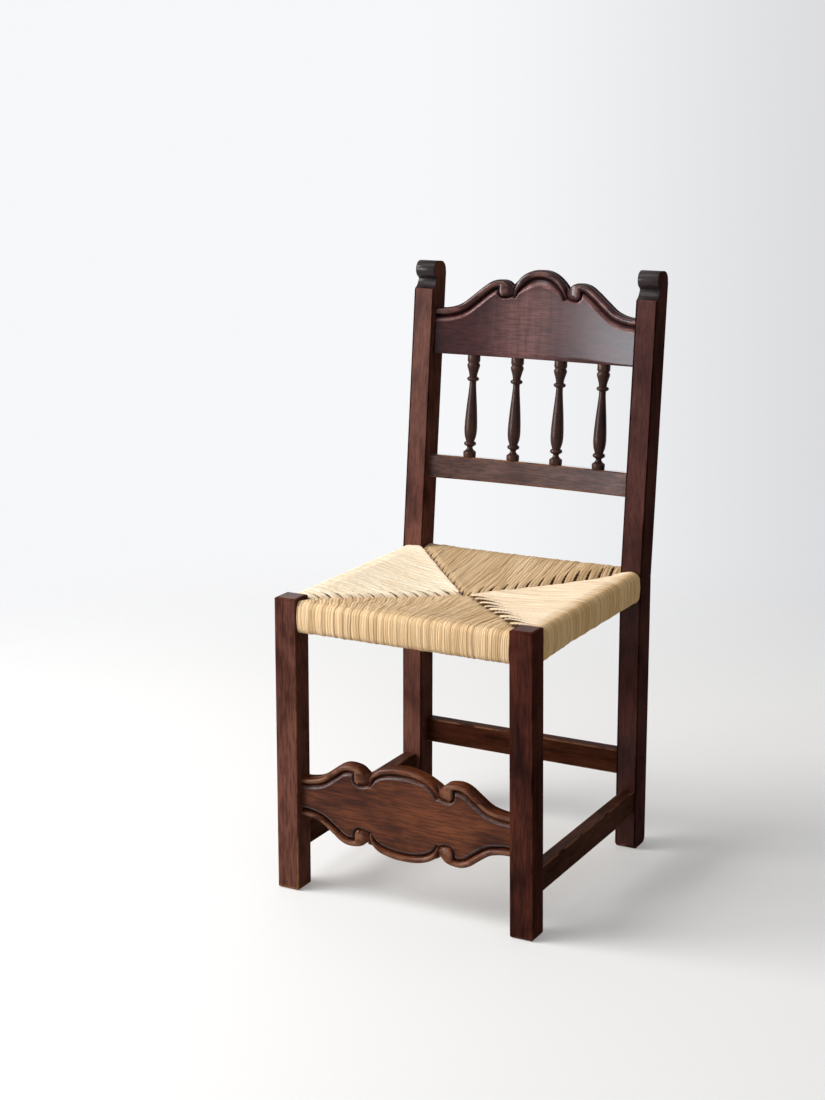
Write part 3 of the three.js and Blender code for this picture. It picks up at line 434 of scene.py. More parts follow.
lower = planed_bar((-BACK_HALF - 2, 0, LOWER_RAIL_LOW), (BACK_HALF + 2, LOWER_RAIL_THICK, LOWER_RAIL_HIGH))
bmesh.ops.subdivide_edges(lower, edges=[e for e in lower.edges if e.calc_length() > 100], cuts=23)
for v in lower.verts:
    v.co.y += BACK_SETBACK + bow(v.co.x)
upright_board(lower)
walnut_back_rail = stained_wood(
    "walnut_back_rail", ACROSS, deep=(0.045, 0.019, 0.015), body=(0.088, 0.040, 0.032),
    bright=(0.13, 0.068, 0.055), seed=9.6, gloss=0.45, grain=0.5)
chair_piece(lower, "back_rail_lower", walnut_back_rail, "lower_back_rail")


# Crest rail: one board, sawn to a scrolled outline and bowed back. A half-round bead is carved
# along its upper edge above a cove, whose lip bounds the plain field. The bead curls into a
# knob on each side of the arch, and an arched bead springs from between the two.
BEAD_HEIGHT, FIELD_DEPTH, BEAD_ROUND, BEAD_START, BEAD_FADE = 7.0, 0.9, 2.2, 7, 9
KNOB_OUTER, KNOB_INNER, KNOB_TALL, KNOB_CREVICE = 9.2, 17.5, 12.4, 3.4
BOARD_THICK, BOARD_ARRIS, TOP_ROW, ROW_STEP = 20, 1.4, 0.6, 0.85
PATCH_CENTRE, PATCH_WIDTH = -22, 55


def through(points, steps):
    """A smooth curve through points: a centripetal Catmull-Rom curve, with steps to a span."""
    points = np.array(points, float)
    points = np.vstack((2 * points[0] - points[1], points, 2 * points[-1] - points[-2]))
    curve = []
    for four in zip(points, points[1:], points[2:], points[3:]):
        t = np.cumsum([0, *(np.linalg.norm(q - p) ** 0.5 for p, q in zip(four, four[1:]))])
        for now in np.linspace(t[1], t[2], steps, endpoint=False):
            blended = four
            for gap, knots in ((1, (0, 1, 2)), (2, (0, 1)), (1, (1,))):
                blended = [p + (q - p) * (now - t[k]) / (t[k + gap] - t[k])
                           for k, p, q in zip(knots, blended, blended[1:])]
            curve.append(blended[0])
    return np.array([*curve, points[-2]])


def board_outline(board):
    """The upper edge over the half of a carved board where x is positive, from its middle out."""
    span = board["half"] - board["notch_half"]
    rise = board["peak"] - board["shoulder"]
    scroll = through([(board["notch_half"], board["notch"]), *(
        (board["notch_half"] + along * span, board["shoulder"] + up * rise)
        for along, up in board["scroll"]), (board["half"] + 20, board["shoulder"])], 12)
    xs = np.linspace(0, board["notch_half"], 24, endpoint=False)
    arch = board["notch"] + (board["arch"] - board["notch"]) * (
        1 - (xs / board["notch_half"]) ** board["fullness"])
    return np.vstack((np.column_stack((xs, arch)), scroll)), scroll


def bead_paths(board):
    """The centre lines of the beads for positive x, as rows of x, z, radius, crown and cove."""
    _, scroll = board_outline(board)
    run = np.gradient(scroll, axis=0)
    run /= np.linalg.norm(run, axis=1)[:, None]
    radius = board["bead"]
    inner = scroll + radius * np.column_stack((run[:, 1], -run[:, 0]))
    inner = inner[inner[:, 0] > board["eye"][0] - BEAD_START]
    fade = np.clip((inner[:, 0] - board["eye"][0] + BEAD_START) / BEAD_FADE, 0, 1)
    bead = np.column_stack((inner, radius * (0.75 + 0.25 * fade), BEAD_HEIGHT * (0.7 + 0.3 * fade),
                            np.full_like(fade, board["cove"])))
    return [bead, through(board["arch_bead"], 6)]


def edge_height(board, x):
    """The height of a carved board's upper edge."""
    outline, _ = board_outline(board)
    return np.interp(np.abs(x), outline[:, 0], outline[:, 1])


def rising(value, low, high):
    """0 below low, 1 above high, and an even rise between them."""
    share = np.clip((value - low) / (high - low), 0, 1)
    return share * share * (3 - 2 * share)


def carved(board, x, z):
    """How high the carving stands at places on the face, and how far across the cove each is:
    below 0 on a bead or knob, 0 to 1 in the cove and above 1 on the field."""
    side = np.abs(x)
    bead, across = np.zeros_like(z), np.full_like(z, 1e3)
    for path in bead_paths(board):
        for start, end in zip(path, path[1:]):
            run = end - start
            share = ((side - start[0]) * run[0] + (z - start[1]) * run[1]) / (run[0] ** 2 + run[1] ** 2)
            here = [a + step * np.clip(share, 0, 1) for a, step in zip(start, run)]
            off = np.hypot(side - here[0], z - here[1])
            bead = np.maximum(bead, here[3] * np.clip(1 - (off / here[2]) ** BEAD_ROUND, 0, 1) ** 0.5)
            across = np.minimum(across, (off - here[2]) / here[4])
    out, up = side - board["eye"][0], z - board["eye"][1]
    half_width = np.where(out > 0, KNOB_OUTER, KNOB_INNER)
    ring = np.hypot(out / half_width, np.minimum(up + 3, 0) / (KNOB_TALL - 3))
    outer_half = np.clip(1 - ring ** 5, 0, 1) ** 0.5
    inner_half = np.clip(1 - ring ** BEAD_ROUND, 0, 1) ** 0.8
    from_edge = np.clip((edge_height(board, x) - z) / board["bead"], 0, 1)
    rolled = np.clip(1 - (1 - from_edge) ** BEAD_ROUND, 0, 1) ** 0.5
    knob = np.where(out > 0, outer_half, inner_half) * rolled * (up < KNOB_TALL + 4)
    across = np.minimum(across, np.where(up < 6, (ring - 1) * KNOB_OUTER / KNOB_CREVICE, 1e3))
    ground = (BEAD_HEIGHT - FIELD_DEPTH) * (0.10 + 0.90 * rising(across, 0.10, 1.05))
    return np.maximum(np.maximum(bead, BEAD_HEIGHT * knob), ground), across


def carving_marks(board, x, z, height, across):
    """The wear on the crowns, grime and painted shade in the coves, fading of the stain on the field, a
    painted sheen on the lip, and wax.
    """
    field = BEAD_HEIGHT - FIELD_DEPTH
    worn = rising(height, 0.80 * BEAD_HEIGHT, BEAD_HEIGHT) * (across < 0)
    patch = board["fade_and_sheen"] * np.exp(-((x - PATCH_CENTRE) / PATCH_WIDTH) ** 2) * rising(across, 0.6, 2.0)
    # A painted sheen: the rounded lip above the cove is lightened where it would catch reflected light.
    lip = rising(across, 0.40, 0.62) * rising(-across, -1.28, -1.0)
    # Painted shade: the deep part of the cove under the bead is darkened towards near black.
    cove = rising(edge_height(board, x) - z, 5, 9) * rising(-height, -0.27 * field, -0.08 * field)
    by_lip = board["grime"] * np.exp(-(np.clip(across, 1, None) - 1) / 0.8) * (across > 1.1)
    hollow = np.maximum(cove * (across > -0.3), by_lip)
    return {WORN: worn, HOLLOW: hollow, FADE_AND_SHEEN: np.maximum(patch, lip), WAXED: 1 - hollow}


def board_back(low, top, shares):
    """The rows round a board's plain back, from its lower edge up: each a height and a depth."""
    corner = [(0, BOARD_THICK / 2), (0, BOARD_THICK - BOARD_ARRIS), (BOARD_ARRIS, BOARD_THICK)]
    return [*((low + inset, deep) for inset, deep in corner),
            *((top + (low - top) * share, BOARD_THICK) for share in shares),
            *((top - inset, deep) for inset, deep in corner[::-1])]


def carved_board(board, xs, heights, back):
    """A carved board: rows of heights on its face, then rows of height and depth round its back."""
    fronts = np.array(heights)
    x, z = xs + 0 * fronts, np.abs(fronts) if board["two_edged"] else fronts
    height, across = carved(board, x, z)
    rows = [np.column_stack((xs, deep, up)) for deep, up in zip(BEAD_HEIGHT - height, fronts)]
    rows += [np.column_stack((xs, deep + 0 * xs, up)) for up, deep in back]
    marks = carving_marks(board, x, z, height, across)
    unmarked = np.zeros((len(back), len(xs)))
    return skin(np.array(rows), {name: np.vstack((mark, unmarked)) for name, mark in marks.items()})


def sawn_off(mesh, half_length):
    """Saws a board off square at both ends."""
    for sign in (-1, 1):
        cut(mesh, (sign * half_length, 0, 0), (sign, 0, 0), clear_outer=True)
    fill_holes(mesh)


# The sizes of a carved board. "scroll" is its edge from the notch to the end, in shares of that
# length and rise, and "arch_bead" the bead of its arch: x, z, radius, crown and width of cove.
crest = {
    "half": 172.6, "notch_half": 47.5, "shoulder": 394.3, "peak": 443, "notch": 433.0, "arch": 460.6,
    "fullness": 2.25, "two_edged": False, "eye": (61.5, 427.5), "bead": 6.25, "cove": 8.5,
    "fade_and_sheen": 0.675, "grime": 0.15,
    "scroll": [(0.07, 0.95), (0.16, 1), (0.28, 0.935), (0.393, 0.745), (0.539, 0.44), (0.676, 0.175),
               (0.814, 0.045), (1, 0)],
    "arch_bead": [(43.5, 418, 1.8, 1.5, 3.0), (42.4, 424, 3.0, 4.6, 4.0), (39.6, 431, 4.2, 6.2, 6.0),
                  (35.5, 437.5, 5.4, 6.8, 8.5), (30, 443.5, 6.1, 7.0, 10.5), (22, 449, 6.25, 7.0, 12.0),
                  (11, 453.1, 6.25, 7.0, 12.5), (-2, 454.4, 6.25, 7.0, 12.5)],
}
CREST_BOTTOM, CREST_SETBACK, CREST_DRIFT, CREST_CUT, CREST_CARVED = 321.5, 8, 2.5, 175.5, 55
crest_x = np.linspace(-crest["half"] - 3, crest["half"] + 3, 400)
crest_top, crest_low = edge_height(crest, crest_x), np.full_like(crest_x, CREST_BOTTOM)
crest_rows = [crest_top - drop for drop in (0, *np.arange(TOP_ROW, CREST_CARVED, ROW_STEP))]
plain_top, plain_low = crest_rows[-1], crest_low + 1.2
crest_rows += [plain_top + (plain_low - plain_top) * share for share in np.linspace(0, 1, 10)[1:]]
crest_back = [(crest_low, FIELD_DEPTH + 0.6), *board_back(crest_low, crest_top, (0.75, 0.5, 0.25))]
crest_mesh = carved_board(crest, crest_x, crest_rows, crest_back)
for v in crest_mesh.verts:
    v.co.y += CREST_SETBACK + bow(v.co.x)
    v.co.x += CREST_DRIFT
sawn_off(crest_mesh, CREST_CUT)
upright_board(crest_mesh)
# Its pink-lilac fading colour paints both the faded patch on the field and a painted sheen on the lips.
walnut_crest = stained_wood(
    "walnut_crest", ACROSS, deep=(0.015, 0.005, 0.005), body=(0.036, 0.0085, 0.0095),
    bright=(0.067, 0.017, 0.018), seed=8.3, gloss=0.60, grain=0.4, polish=0.19,
    bare=(0.145, 0.060, 0.046), fade_and_sheen=(0.24, 0.112, 0.102))
chair_piece(crest_mesh, "crest_rail_carved", walnut_crest, "crest_rail", 60)


# Spindles: four turned from walnut, each with a square-shouldered base, a vase, a long neck
# with a ring, and an upper vase under its block. They are socketed into both back rails.
SPINDLE_FOOT, SPINDLE_HEAD = 159.3, 321.4
SPINDLE_PITCH, SPINDLE_DRIFT, SPINDLE_DEPTH = 74.6, 4.2, 18
WORN_RADIUS, SPINDLE_WEAR = 9.2, 0.15
turning = [
    (0, 19.2), (0.008, 20.2), (0.03, 20.6), (0.052, 20.2), (0.058, 17.5), (0.07, 12.5), (0.088, 8.8),
    (0.100, 9.6), (0.108, 12.6), (0.114, 16.6), (0.122, 19.0), (0.133, 19.6), (0.144, 18.4), (0.151, 15),
    (0.155, 13.2), (0.17, 14.6), (0.2, 17.9), (0.24, 19.8), (0.28, 20.4), (0.35, 19.8), (0.42, 18.4),
    (0.5, 16.6), (0.6, 13.7), (0.7, 11), (0.744, 10.6), (0.75, 14.4), (0.757, 18), (0.768, 19.6),
    (0.779, 18.6), (0.787, 15.4), (0.793, 12.2), (0.82, 13.4), (0.85, 16.0), (0.88, 19.0), (0.896, 20.5),
    (0.91, 20.6), (0.919, 19.0), (0.925, 17.4), (0.932, 17.4), (0.939, 19.6), (0.95, 20.4),
    (0.992, 20.2), (1, 19.4),
]
walnut_turned = stained_wood(
    "walnut_turned", UPRIGHT, deep=(0.018, 0.007, 0.005), body=(0.037, 0.013, 0.010),
    bright=(0.060, 0.024, 0.019), seed=11.9, gloss=0.4)
for i in range(4):
    spindle = bmesh.new()
    length = SPINDLE_HEAD - SPINDLE_FOOT
    line = [spindle.verts.new((wide / 2, 0, SPINDLE_FOOT + up * length)) for up, wide in turning]
    for a, b in zip(line, line[1:]):
        spindle.edges.new((a, b))
    bmesh.ops.spin(spindle, geom=[*spindle.verts, *spindle.edges], cent=(0, 0, 0), axis=(0, 0, 1),
                   dvec=(0, 0, 0), angle=2 * math.pi, steps=32, use_merge=True, use_duplicate=False)
    fill_holes(spindle)
    worn, waxed = spindle.verts.layers.float.new(WORN), spindle.verts.layers.float.new(WAXED)
    for v in spindle.verts:
        v[waxed] = 1.0
        v[worn] = SPINDLE_WEAR * min(max((math.hypot(v.co.x, v.co.y) - WORN_RADIUS) / 0.9, 0), 1)
    x = SPINDLE_DRIFT + SPINDLE_PITCH * (i - 1.5)
    bmesh.ops.translate(spindle, vec=(x, SPINDLE_DEPTH + bow(x), 0), verts=spindle.verts)
    upright_board(spindle)
    chair_piece(spindle, f"spindle_turned_{i + 1}", walnut_turned, f"spindle_{i + 1}", 50)


# Front stretcher: a carved board of the same moulding as the crest rail, scrolled along both
# edges, with a wide plain field. It is tenoned into the front legs and faces forward.
apron = {
    "half": 174.8, "notch_half": 60.5, "shoulder": 30.8, "peak": 63.8, "notch": 52.6, "arch": 71.8,
    "fullness": 2.1, "two_edged": True, "eye": (73.5, 46.5), "bead": 5.3, "cove": 6.0, "fade_and_sheen": 0.0,
    "grime": 0.35,
    "scroll": [(0.094, 0.91), (0.19, 0.99), (0.28, 1), (0.352, 0.945), (0.424, 0.825), (0.494, 0.645),
               (0.583, 0.42), (0.654, 0.25), (0.725, 0.13), (0.867, 0.025), (1, 0)],
    "arch_bead": [(55.8, 38, 1.8, 1.5, 3.0), (54.4, 44, 3.0, 4.6, 3.8), (51.6, 50, 4.0, 6.2, 4.6),
                  (46.0, 55.6, 4.9, 6.8, 5.0), (38, 60.4, 5.3, 7.0, 5.5), (26, 63.9, 5.3, 7.0, 6.0),
                  (13, 66.0, 5.3, 7.0, 6.0), (-2, 66.6, 5.3, 7.0, 6.0)],
}
APRON_CENTRE, APRON_FRONT, APRON_DRIFT, APRON_CARVED = 147.4, -227.6, -3, 34
apron_x = np.linspace(-apron["half"] - 4, apron["half"] + 4, 400)
apron_top = edge_height(apron, apron_x)
squeeze = np.minimum(1.0, (apron_top - 3) / APRON_CARVED)
apron_rows = [apron_top - drop * squeeze for drop in (0, *np.arange(TOP_ROW, APRON_CARVED, ROW_STEP))]
apron_rows += [apron_rows[-1] * share for share in np.linspace(1, 0, 6)[1:]]
apron_rows += [-row for row in apron_rows[-2::-1]]
apron_mesh = carved_board(apron, apron_x, apron_rows, board_back(-apron_top, apron_top, (0.7, 0.3)))
for v in apron_mesh.verts:
    v.co += Vector((APRON_DRIFT, APRON_FRONT, APRON_CENTRE))
apron_cut = LEG_CENTRE - LEG_WIDTH / 2 + FOOT_SPLAY * (1 - APRON_CENTRE / LEG_HEIGHT) + 1
sawn_off(apron_mesh, apron_cut)
# Its pale grey-lilac fading colour is only a painted sheen on the lips, as this board has no faded patch.
walnut_apron = stained_wood(
    "walnut_front_stretcher", ACROSS, deep=(0.038, 0.0090, 0.0040), body=(0.105, 0.0265, 0.0105),
    bright=(0.182, 0.054, 0.0210), seed=14.2, gloss=0.30, grain=0.5, fade_and_sheen=(0.15, 0.112, 0.108))
chair_piece(apron_mesh, "front_stretcher_carved", walnut_apron, "front_stretcher", 60)


# Rush seat: four panels of twisted rush, each wound round its rail and passed down into the
# seat along the two diagonals. Cords of three leaves lie side by side; the side panels' cords
# end in fingers over the front panel, and their edges lie over the rear panel.
SEAT_TOP, SEAT_UNDER, SEAT_FRONT, SEAT_REAR, SEAT_SIDE = 450.5, 403, -235.12, 188.78, 206
SEAT_MIDDLE, TIP_HALF = (SEAT_FRONT + SEAT_REAR) / 2, 12.5
FRONT_CORNER, REAR_CORNER = (171.44, -201.02), (173.1, 151.18)
RAIL_COVER, RUSH_THICK, SAG, RISE, WRAP_RADIUS = 26.1, 5.0, 15, 10, 11
LEAVES, CORD_STEPS, CORD_PITCH, CORD_TURN = 3, 16, 12.7, 0.06
LEAF_CROWN, LEAF_LIFT, LEAF_LIFTS, GAPE_DARK = 0.65, 0.2, 97, 12
BEND_RUN, DIVE, LINING_PAST = 6, 8, 6
CORD, TURN, RUN, TUCK_SHADE, TONE_AND_LIGHT = "cord", "turn", "run", "tuck_shade", "tone"


def sag_at(panel, along, inward):
    """How much of the seat's sag is at places on a panel: none at the rails, all in the middle."""
    x, y, _ = panel["at"](along, inward + 0 * along, 0 * along).T
    off_x = np.clip(np.abs(x) / (SEAT_SIDE - RAIL_COVER), 0, 1)
    off_y = np.clip(np.abs(y - SEAT_MIDDLE) / ((SEAT_REAR - SEAT_FRONT) / 2 - RAIL_COVER), 0, 1)
    return (1 - off_x ** 2) * (1 - off_y ** 2)


def cord_columns(ends, tips, half_cords, tip_cords):
    """Where the columns of a panel stand along its rail, and their places in cords. Each half
    of the panel has its own number of cords."""
    marks = [*np.linspace(ends[0], tips[0], half_cords[0] + 1)]
    marks += [*np.linspace(tips[0], tips[1], tip_cords + 1)[1:]] if tip_cords else []
    marks += [*np.linspace(tips[1], ends[1], half_cords[1] + 1)[1:]]
    cords = np.linspace(0, len(marks) - 1, (len(marks) - 1) * CORD_STEPS + 1)
    return np.interp(cords, np.arange(len(marks)), marks), cords


def wander(cords, run):
    """The small sideways wander of cords that were laid by hand."""
    return (0.45 * np.sin(1.7 * cords + 0.060 * run) + 0.35 * np.sin(4.1 * cords - 0.085 * run + 1.3)
            + 0.25 * np.sin(9.7 * cords + 0.130 * run + 4.0))


def cord_ends(fall, gaps, deep, slant=0.0, shade=0.0):
    """How a panel's cords end at a diagonal. Two lists give values by distance before it in mm:
    the height above the seat, and the share of a cord's width that gapes. The gaps follow the
    leaves, turned from them by slant, and are so deep; shade is a shadow over the ends."""
    return {"fall": fall, "gaps": gaps, "deep": deep, "slant": slant, "shade": shade}


FINGERS_RIGHT = cord_ends(
    [(-15, -3.6), (-12, -1.8), (-8, -0.2), (-2, 0.7), (6, 1.0), (14, 0.7), (26, 0)],
    [(-15, 0.85), (-9, 0.76), (-3, 0.68), (3, 0.60), (9, 0.50), (15, 0.36), (21, 0.20), (28, 0)], deep=2.4)
FINGERS_LEFT = cord_ends(
    [(-13, -7), (-8, -4.4), (-4, -2.6), (0, -1.2), (5, 0), (10, 0.5), (17, 0.6), (26, 0)],
    [(-13, 0.14), (-5, 0.17), (1, 0.20), (7, 0.21), (13, 0.19), (20, 0.14), (27, 0.07), (34, 0)],
    deep=1.6, slant=0.02)
EDGE = cord_ends(
    [(-6, -10), (-3.4, -6.5), (-1.6, -2.6), (0.4, 0.5), (3, 1.2), (8, 1.1), (16, 0.6), (34, 0)],
    [(-6, 0.10), (3, 0.04), (8, 0)], deep=1.5)
UNDER_FINGERS = [(-9, -12), (-4, -9), (0, -6.6), (5, -4.2), (11, -2.0), (18, -0.6), (26, 0)]
UNDER_LEFT_FINGERS = cord_ends(UNDER_FINGERS, [(-9, 0.2), (2, 0.1), (16, 0)], deep=1.0, shade=0.2)
UNDER_RIGHT_FINGERS = cord_ends(
    UNDER_FINGERS, [(-9, 0.35), (4, 0.3), (12, 0.22), (24, 0)], deep=0.8, shade=0.6)
UNDER_EDGES = [(-9, -11), (-4, -7.5), (0, -5.2), (6, -3.0), (12, -1.2), (20, 0), (26, 0)]
UNDER_LEFT_EDGE = cord_ends(
    UNDER_EDGES, [(-9, 0.4), (0, 0.34), (6, 0.24), (12, 0.1), (18, 0)], deep=3.0, shade=0.2)
UNDER_RIGHT_EDGE = cord_ends(
    UNDER_EDGES, [(-9, 0.27), (0, 0.27), (12, 0.28), (24, 0.25), (36, 0.15), (48, 0)], deep=2.0, shade=0.2)
END_ROWS = [-15, -13, -11, -9, -7.5, -6, -4.8, -3.6, -2.4, -1.2, 0, 1.2, 2.5, 4, 5.5, 7, 8.5,
            *range(10, 23, 2)]

# How far the seat sinks along its rear right diagonal, by the share of the way to the middle.
SINK = [(0, 4.5), (0.025, 5.5), (0.094, 7.3), (0.175, 8.3), (0.287, 7.3), (0.455, 5), (0.63, 2.6),
        (0.82, 0)]


def rush_panel(panel, random):
    """The closed skin of a panel, in rows along its rail: over the top from the diagonal, round
    the rail, back below, and along the lining inside. Its marks say where on a cord each place
    is, how much painted shade it carries in the gaps, past the diagonal and inside the seat, and
    its colour by panel and face, which is partly painted light."""
    along, cords = panel["columns"]
    reach = panel["reach"](along)
    count = int(cords[-1])
    number = np.clip(np.floor(cords + 1e-9), 0, count - 1).astype(int)
    within = 2 * (cords - number) - 1
    leaf_lift = random.normal(0, LEAF_LIFT, (count, LEAF_LIFTS))
    own_gape = random.uniform(0.72, 1.18, count + 1)
    seam = np.exp(-((1 - np.abs(within)) / 0.13) ** 2)
    swell = 0.2 * (1 - within ** 2) + random.normal(0, 0.2, count)[number] - panel["seam"] * seam
    twist = np.interp(along, (along[0], along[-1]), panel["twist"])
    first_half = along < (along[0] + along[-1]) / 2
    to_middle = (reach - reach[-1]) / np.ptp(reach)
    sunk = np.where(first_half, 0, panel["sinks"] * np.interp(to_middle, *zip(*SINK)))
    inner_tone, outer_tone = panel["tone"]
    places, marks = [], {mark: [] for mark in (CORD, TURN, RUN, TUCK_SHADE, TONE_AND_LIGHT)}

    def laid(key, e):
        """A value of the panel's two end styles at a distance before the diagonal."""
        values = [np.interp(e, *zip(*style[key])) if isinstance(style[key], list) else style[key]
                  for style in panel["laid"]]
        return np.where(first_half, *values)

    def row(inward, z, out_in, out_z, run, tuck_shade, tone):
        """One row of the skin: its leaves stand out from it by (out_in, out_z)."""
        side = np.clip(along + wander(cords, run), along[0], along[-1])
        inward, z, run = inward + 0 * along, z + 0 * along, run + 0 * along
        turn = twist * np.minimum(run, reach - WRAP_RADIUS - END_ROWS[0]) / CORD_PITCH
        leaf = LEAVES * (cords - number + turn) + number * CORD_TURN
        crown = np.sqrt(1 - 0.95 * (2 * (leaf - np.floor(leaf)) - 1) ** 2) - 0.6
        lift = leaf_lift[number, np.floor(leaf).astype(int) % LEAF_LIFTS]
        relief = LEAF_CROWN * crown + swell + lift
        places.append(panel["at"](side, inward - out_in * relief, z + out_z * relief))
        for mark, value in ((CORD, cords), (TURN, turn), (RUN, run), (TUCK_SHADE, tuck_shade), (TONE_AND_LIGHT, tone)):
            marks[mark].append(value + 0 * along)

    def lining(inward, z, tuck_shade=0.6):
        """One smooth row inside the panel, against the packing and the rail, darkened with painted shade.
        """
        row(inward, z, 0, 0, 0.0, tuck_shade, 0.5)

    def upper(inward):
        """The height of the top, which dips where it goes over the rear rail."""
        over_rail = np.exp(-(inward / 30) ** 2) * (1 - (along / 185) ** 2)
        return SEAT_TOP - SAG * sag_at(panel, along, inward) - panel["dip"] * over_rail

    def under(inward):
        return SEAT_UNDER + RISE * sag_at(panel, along, inward)

    def sink(e):
        """The sinking of the seat towards its rear right diagonal."""
        return sunk * (1 - rising(e, 0, np.minimum(45, reach - WRAP_RADIUS)))

    def top_row(inward, tone):
        """A row of the upper layer, with the gaps that open between cords towards the diagonal, painted
        dark as shade.
        """
        e = reach - inward
        slit = cords + (twist + laid("slant", e)) * (e - 5) / CORD_PITCH
        nearest = np.clip(np.rint(slit), 0, count).astype(int)
        off = np.minimum(2 * np.abs(slit - nearest), 1)
        gape = np.maximum(laid("gaps", e) * own_gape[nearest] * rising(inward, 11, 17), 1e-3)
        gap = (1 - rising(off, 0.35 * gape, gape)) * rising(gape, 0.0, 0.15)
        # Painted shade: the gaps go near black, a painted shadow lies over the ends, and cords darken past
        # the diagonal.
        tuck_shade = gap * GAPE_DARK + laid("shade", e) * rising(-e, -18, 0) + rising(-e, 8, 15)
        pinched = laid("deep", e) * gap - 1.2 * gape * off * (2 - off)
        z = upper(inward) + laid("fall", e) - sink(e) - pinched
        row(inward, z, 0, 1, e - END_ROWS[0], np.clip(tuck_shade, panel["shade"], 1), tone)

    def tone_at(share):
        return inner_tone + (outer_tone - inner_tone) * share

    for e in END_ROWS:
        top_row(reach - e, inner_tone + 0.3 * rising(-e, -8, 4))
    for share in np.linspace(0, 1, 47)[1:]:
        inward = (reach - END_ROWS[-1]) * (1 - share) + WRAP_RADIUS * share
        top_row(inward, tone_at(np.clip((26 - inward) / 24, 0, 1)))
    run = reach - WRAP_RADIUS - END_ROWS[0]
    high, low = upper(WRAP_RADIUS) - WRAP_RADIUS, SEAT_UNDER + WRAP_RADIUS - panel["hang"](along)
    for angle in np.linspace(0, math.pi / 2, 8)[1:]:
        row(WRAP_RADIUS * (1 - math.sin(angle)), high + WRAP_RADIUS * math.cos(angle), math.sin(angle),
            math.cos(angle), run + WRAP_RADIUS * angle, 0.0, tone_at(0.62 + 0.38 * math.sin(angle)))
    run = run + WRAP_RADIUS * math.pi / 2
    for share in np.linspace(0, 1, 9)[1:]:
        bulge = 0.8 * math.sin(math.pi * share)
        row(-bulge, high + (low - high) * share, 1, 0, run + (high - low) * share, 0.0, outer_tone)
    run = run + high - low
    for angle in np.linspace(0, math.pi / 2, 7)[1:]:
        row(WRAP_RADIUS * (1 - math.cos(angle)), low - WRAP_RADIUS * math.sin(angle), math.cos(angle),
            -math.sin(angle), run + WRAP_RADIUS * angle, 0.0, outer_tone)
    run = run + BEND_RUN
    for share in np.linspace(0, 1, 25)[1:]:
        inward = WRAP_RADIUS + (reach - DIVE - WRAP_RADIUS) * share
        hang = panel["hang"](along) * np.exp(-((inward - WRAP_RADIUS) / 40) ** 2)
        row(inward, under(inward) - hang, 0, -1, run + inward, 0.0, outer_tone)
    # Painted shade deepens as the under layer passes up into the seat.
    for e in (4, 1, -3, -8):
        rise = np.clip((4 - e) / 12, 0, 1) ** 1.4 * 7
        tuck_shade = np.clip((2 - e) / 6, 0, 1)
        row(reach - e, under(reach - e) + rise, 0, -0.8, run + reach - e, tuck_shade, outer_tone)
    inner = WRAP_RADIUS - RUSH_THICK
    for share in np.linspace(0, 1, 9):
        inward = reach + LINING_PAST + (WRAP_RADIUS - (reach + LINING_PAST)) * share
        lining(inward, under(inward) + RUSH_THICK + (1 - share) ** 6 * 5)
    for angle in np.linspace(math.pi / 2, 0, 4)[1:]:
        lining(WRAP_RADIUS - inner * math.cos(angle), SEAT_UNDER + WRAP_RADIUS - inner * math.sin(angle))
    for angle in np.linspace(0, math.pi / 2, 4):
        lining(WRAP_RADIUS - inner * math.cos(angle), high + inner * math.sin(angle))
    for share in np.linspace(0, 1, 11)[1:]:
        inward = WRAP_RADIUS + (reach - DIVE - WRAP_RADIUS) * share
        lining(inward, upper(inward) - RUSH_THICK - share ** 5 * 9 - sink(reach - inward))
    lining(reach + LINING_PAST, upper(reach + LINING_PAST) - RUSH_THICK - 13 - sink(-LINING_PAST), 0.9)
    return skin(np.array(places), {mark: np.array(rows) for mark, rows in marks.items()})


def cross_panel(face, sign, corner, half_cords, **weave):
    """The front or rear panel: the y of its face, and 1 or -1 for the way in from there."""
    def reach(along):
        share = np.clip((corner[0] - np.abs(along)) / (corner[0] - TIP_HALF), 0, 1)
        return sign * (corner[1] + (SEAT_MIDDLE - corner[1]) * share - face)

    return {"columns": cord_columns((-corner[0], corner[0]), (-TIP_HALF, TIP_HALF), half_cords, 2),
            "reach": reach, "hang": lambda along: 0 * along,
            "at": lambda along, inward, z: np.column_stack((along, face + sign * inward, z)), **weave}


def side_panel(sign, half_cords, **weave):
    """The left or right panel, whose underside hangs lower towards the front leg."""
    def reach(along):
        corner_x = np.where(along < SEAT_MIDDLE, FRONT_CORNER[0], REAR_CORNER[0])
        corner_y = np.where(along < SEAT_MIDDLE, FRONT_CORNER[1], REAR_CORNER[1])
        share = np.clip((along - corner_y) / (SEAT_MIDDLE - corner_y), 0, 1)
        return SEAT_SIDE - (corner_x + (TIP_HALF - corner_x) * share)

    ends = (FRONT_CORNER[1], REAR_CORNER[1])
    return {"columns": cord_columns(ends, (SEAT_MIDDLE, SEAT_MIDDLE), half_cords, 0),
            "reach": reach, "hang": lambda along: 3.2 * np.exp(-((along - ends[0]) / 70) ** 2),
            "at": lambda along, inward, z: np.column_stack((sign * (SEAT_SIDE - inward), along, z)),
            **weave}


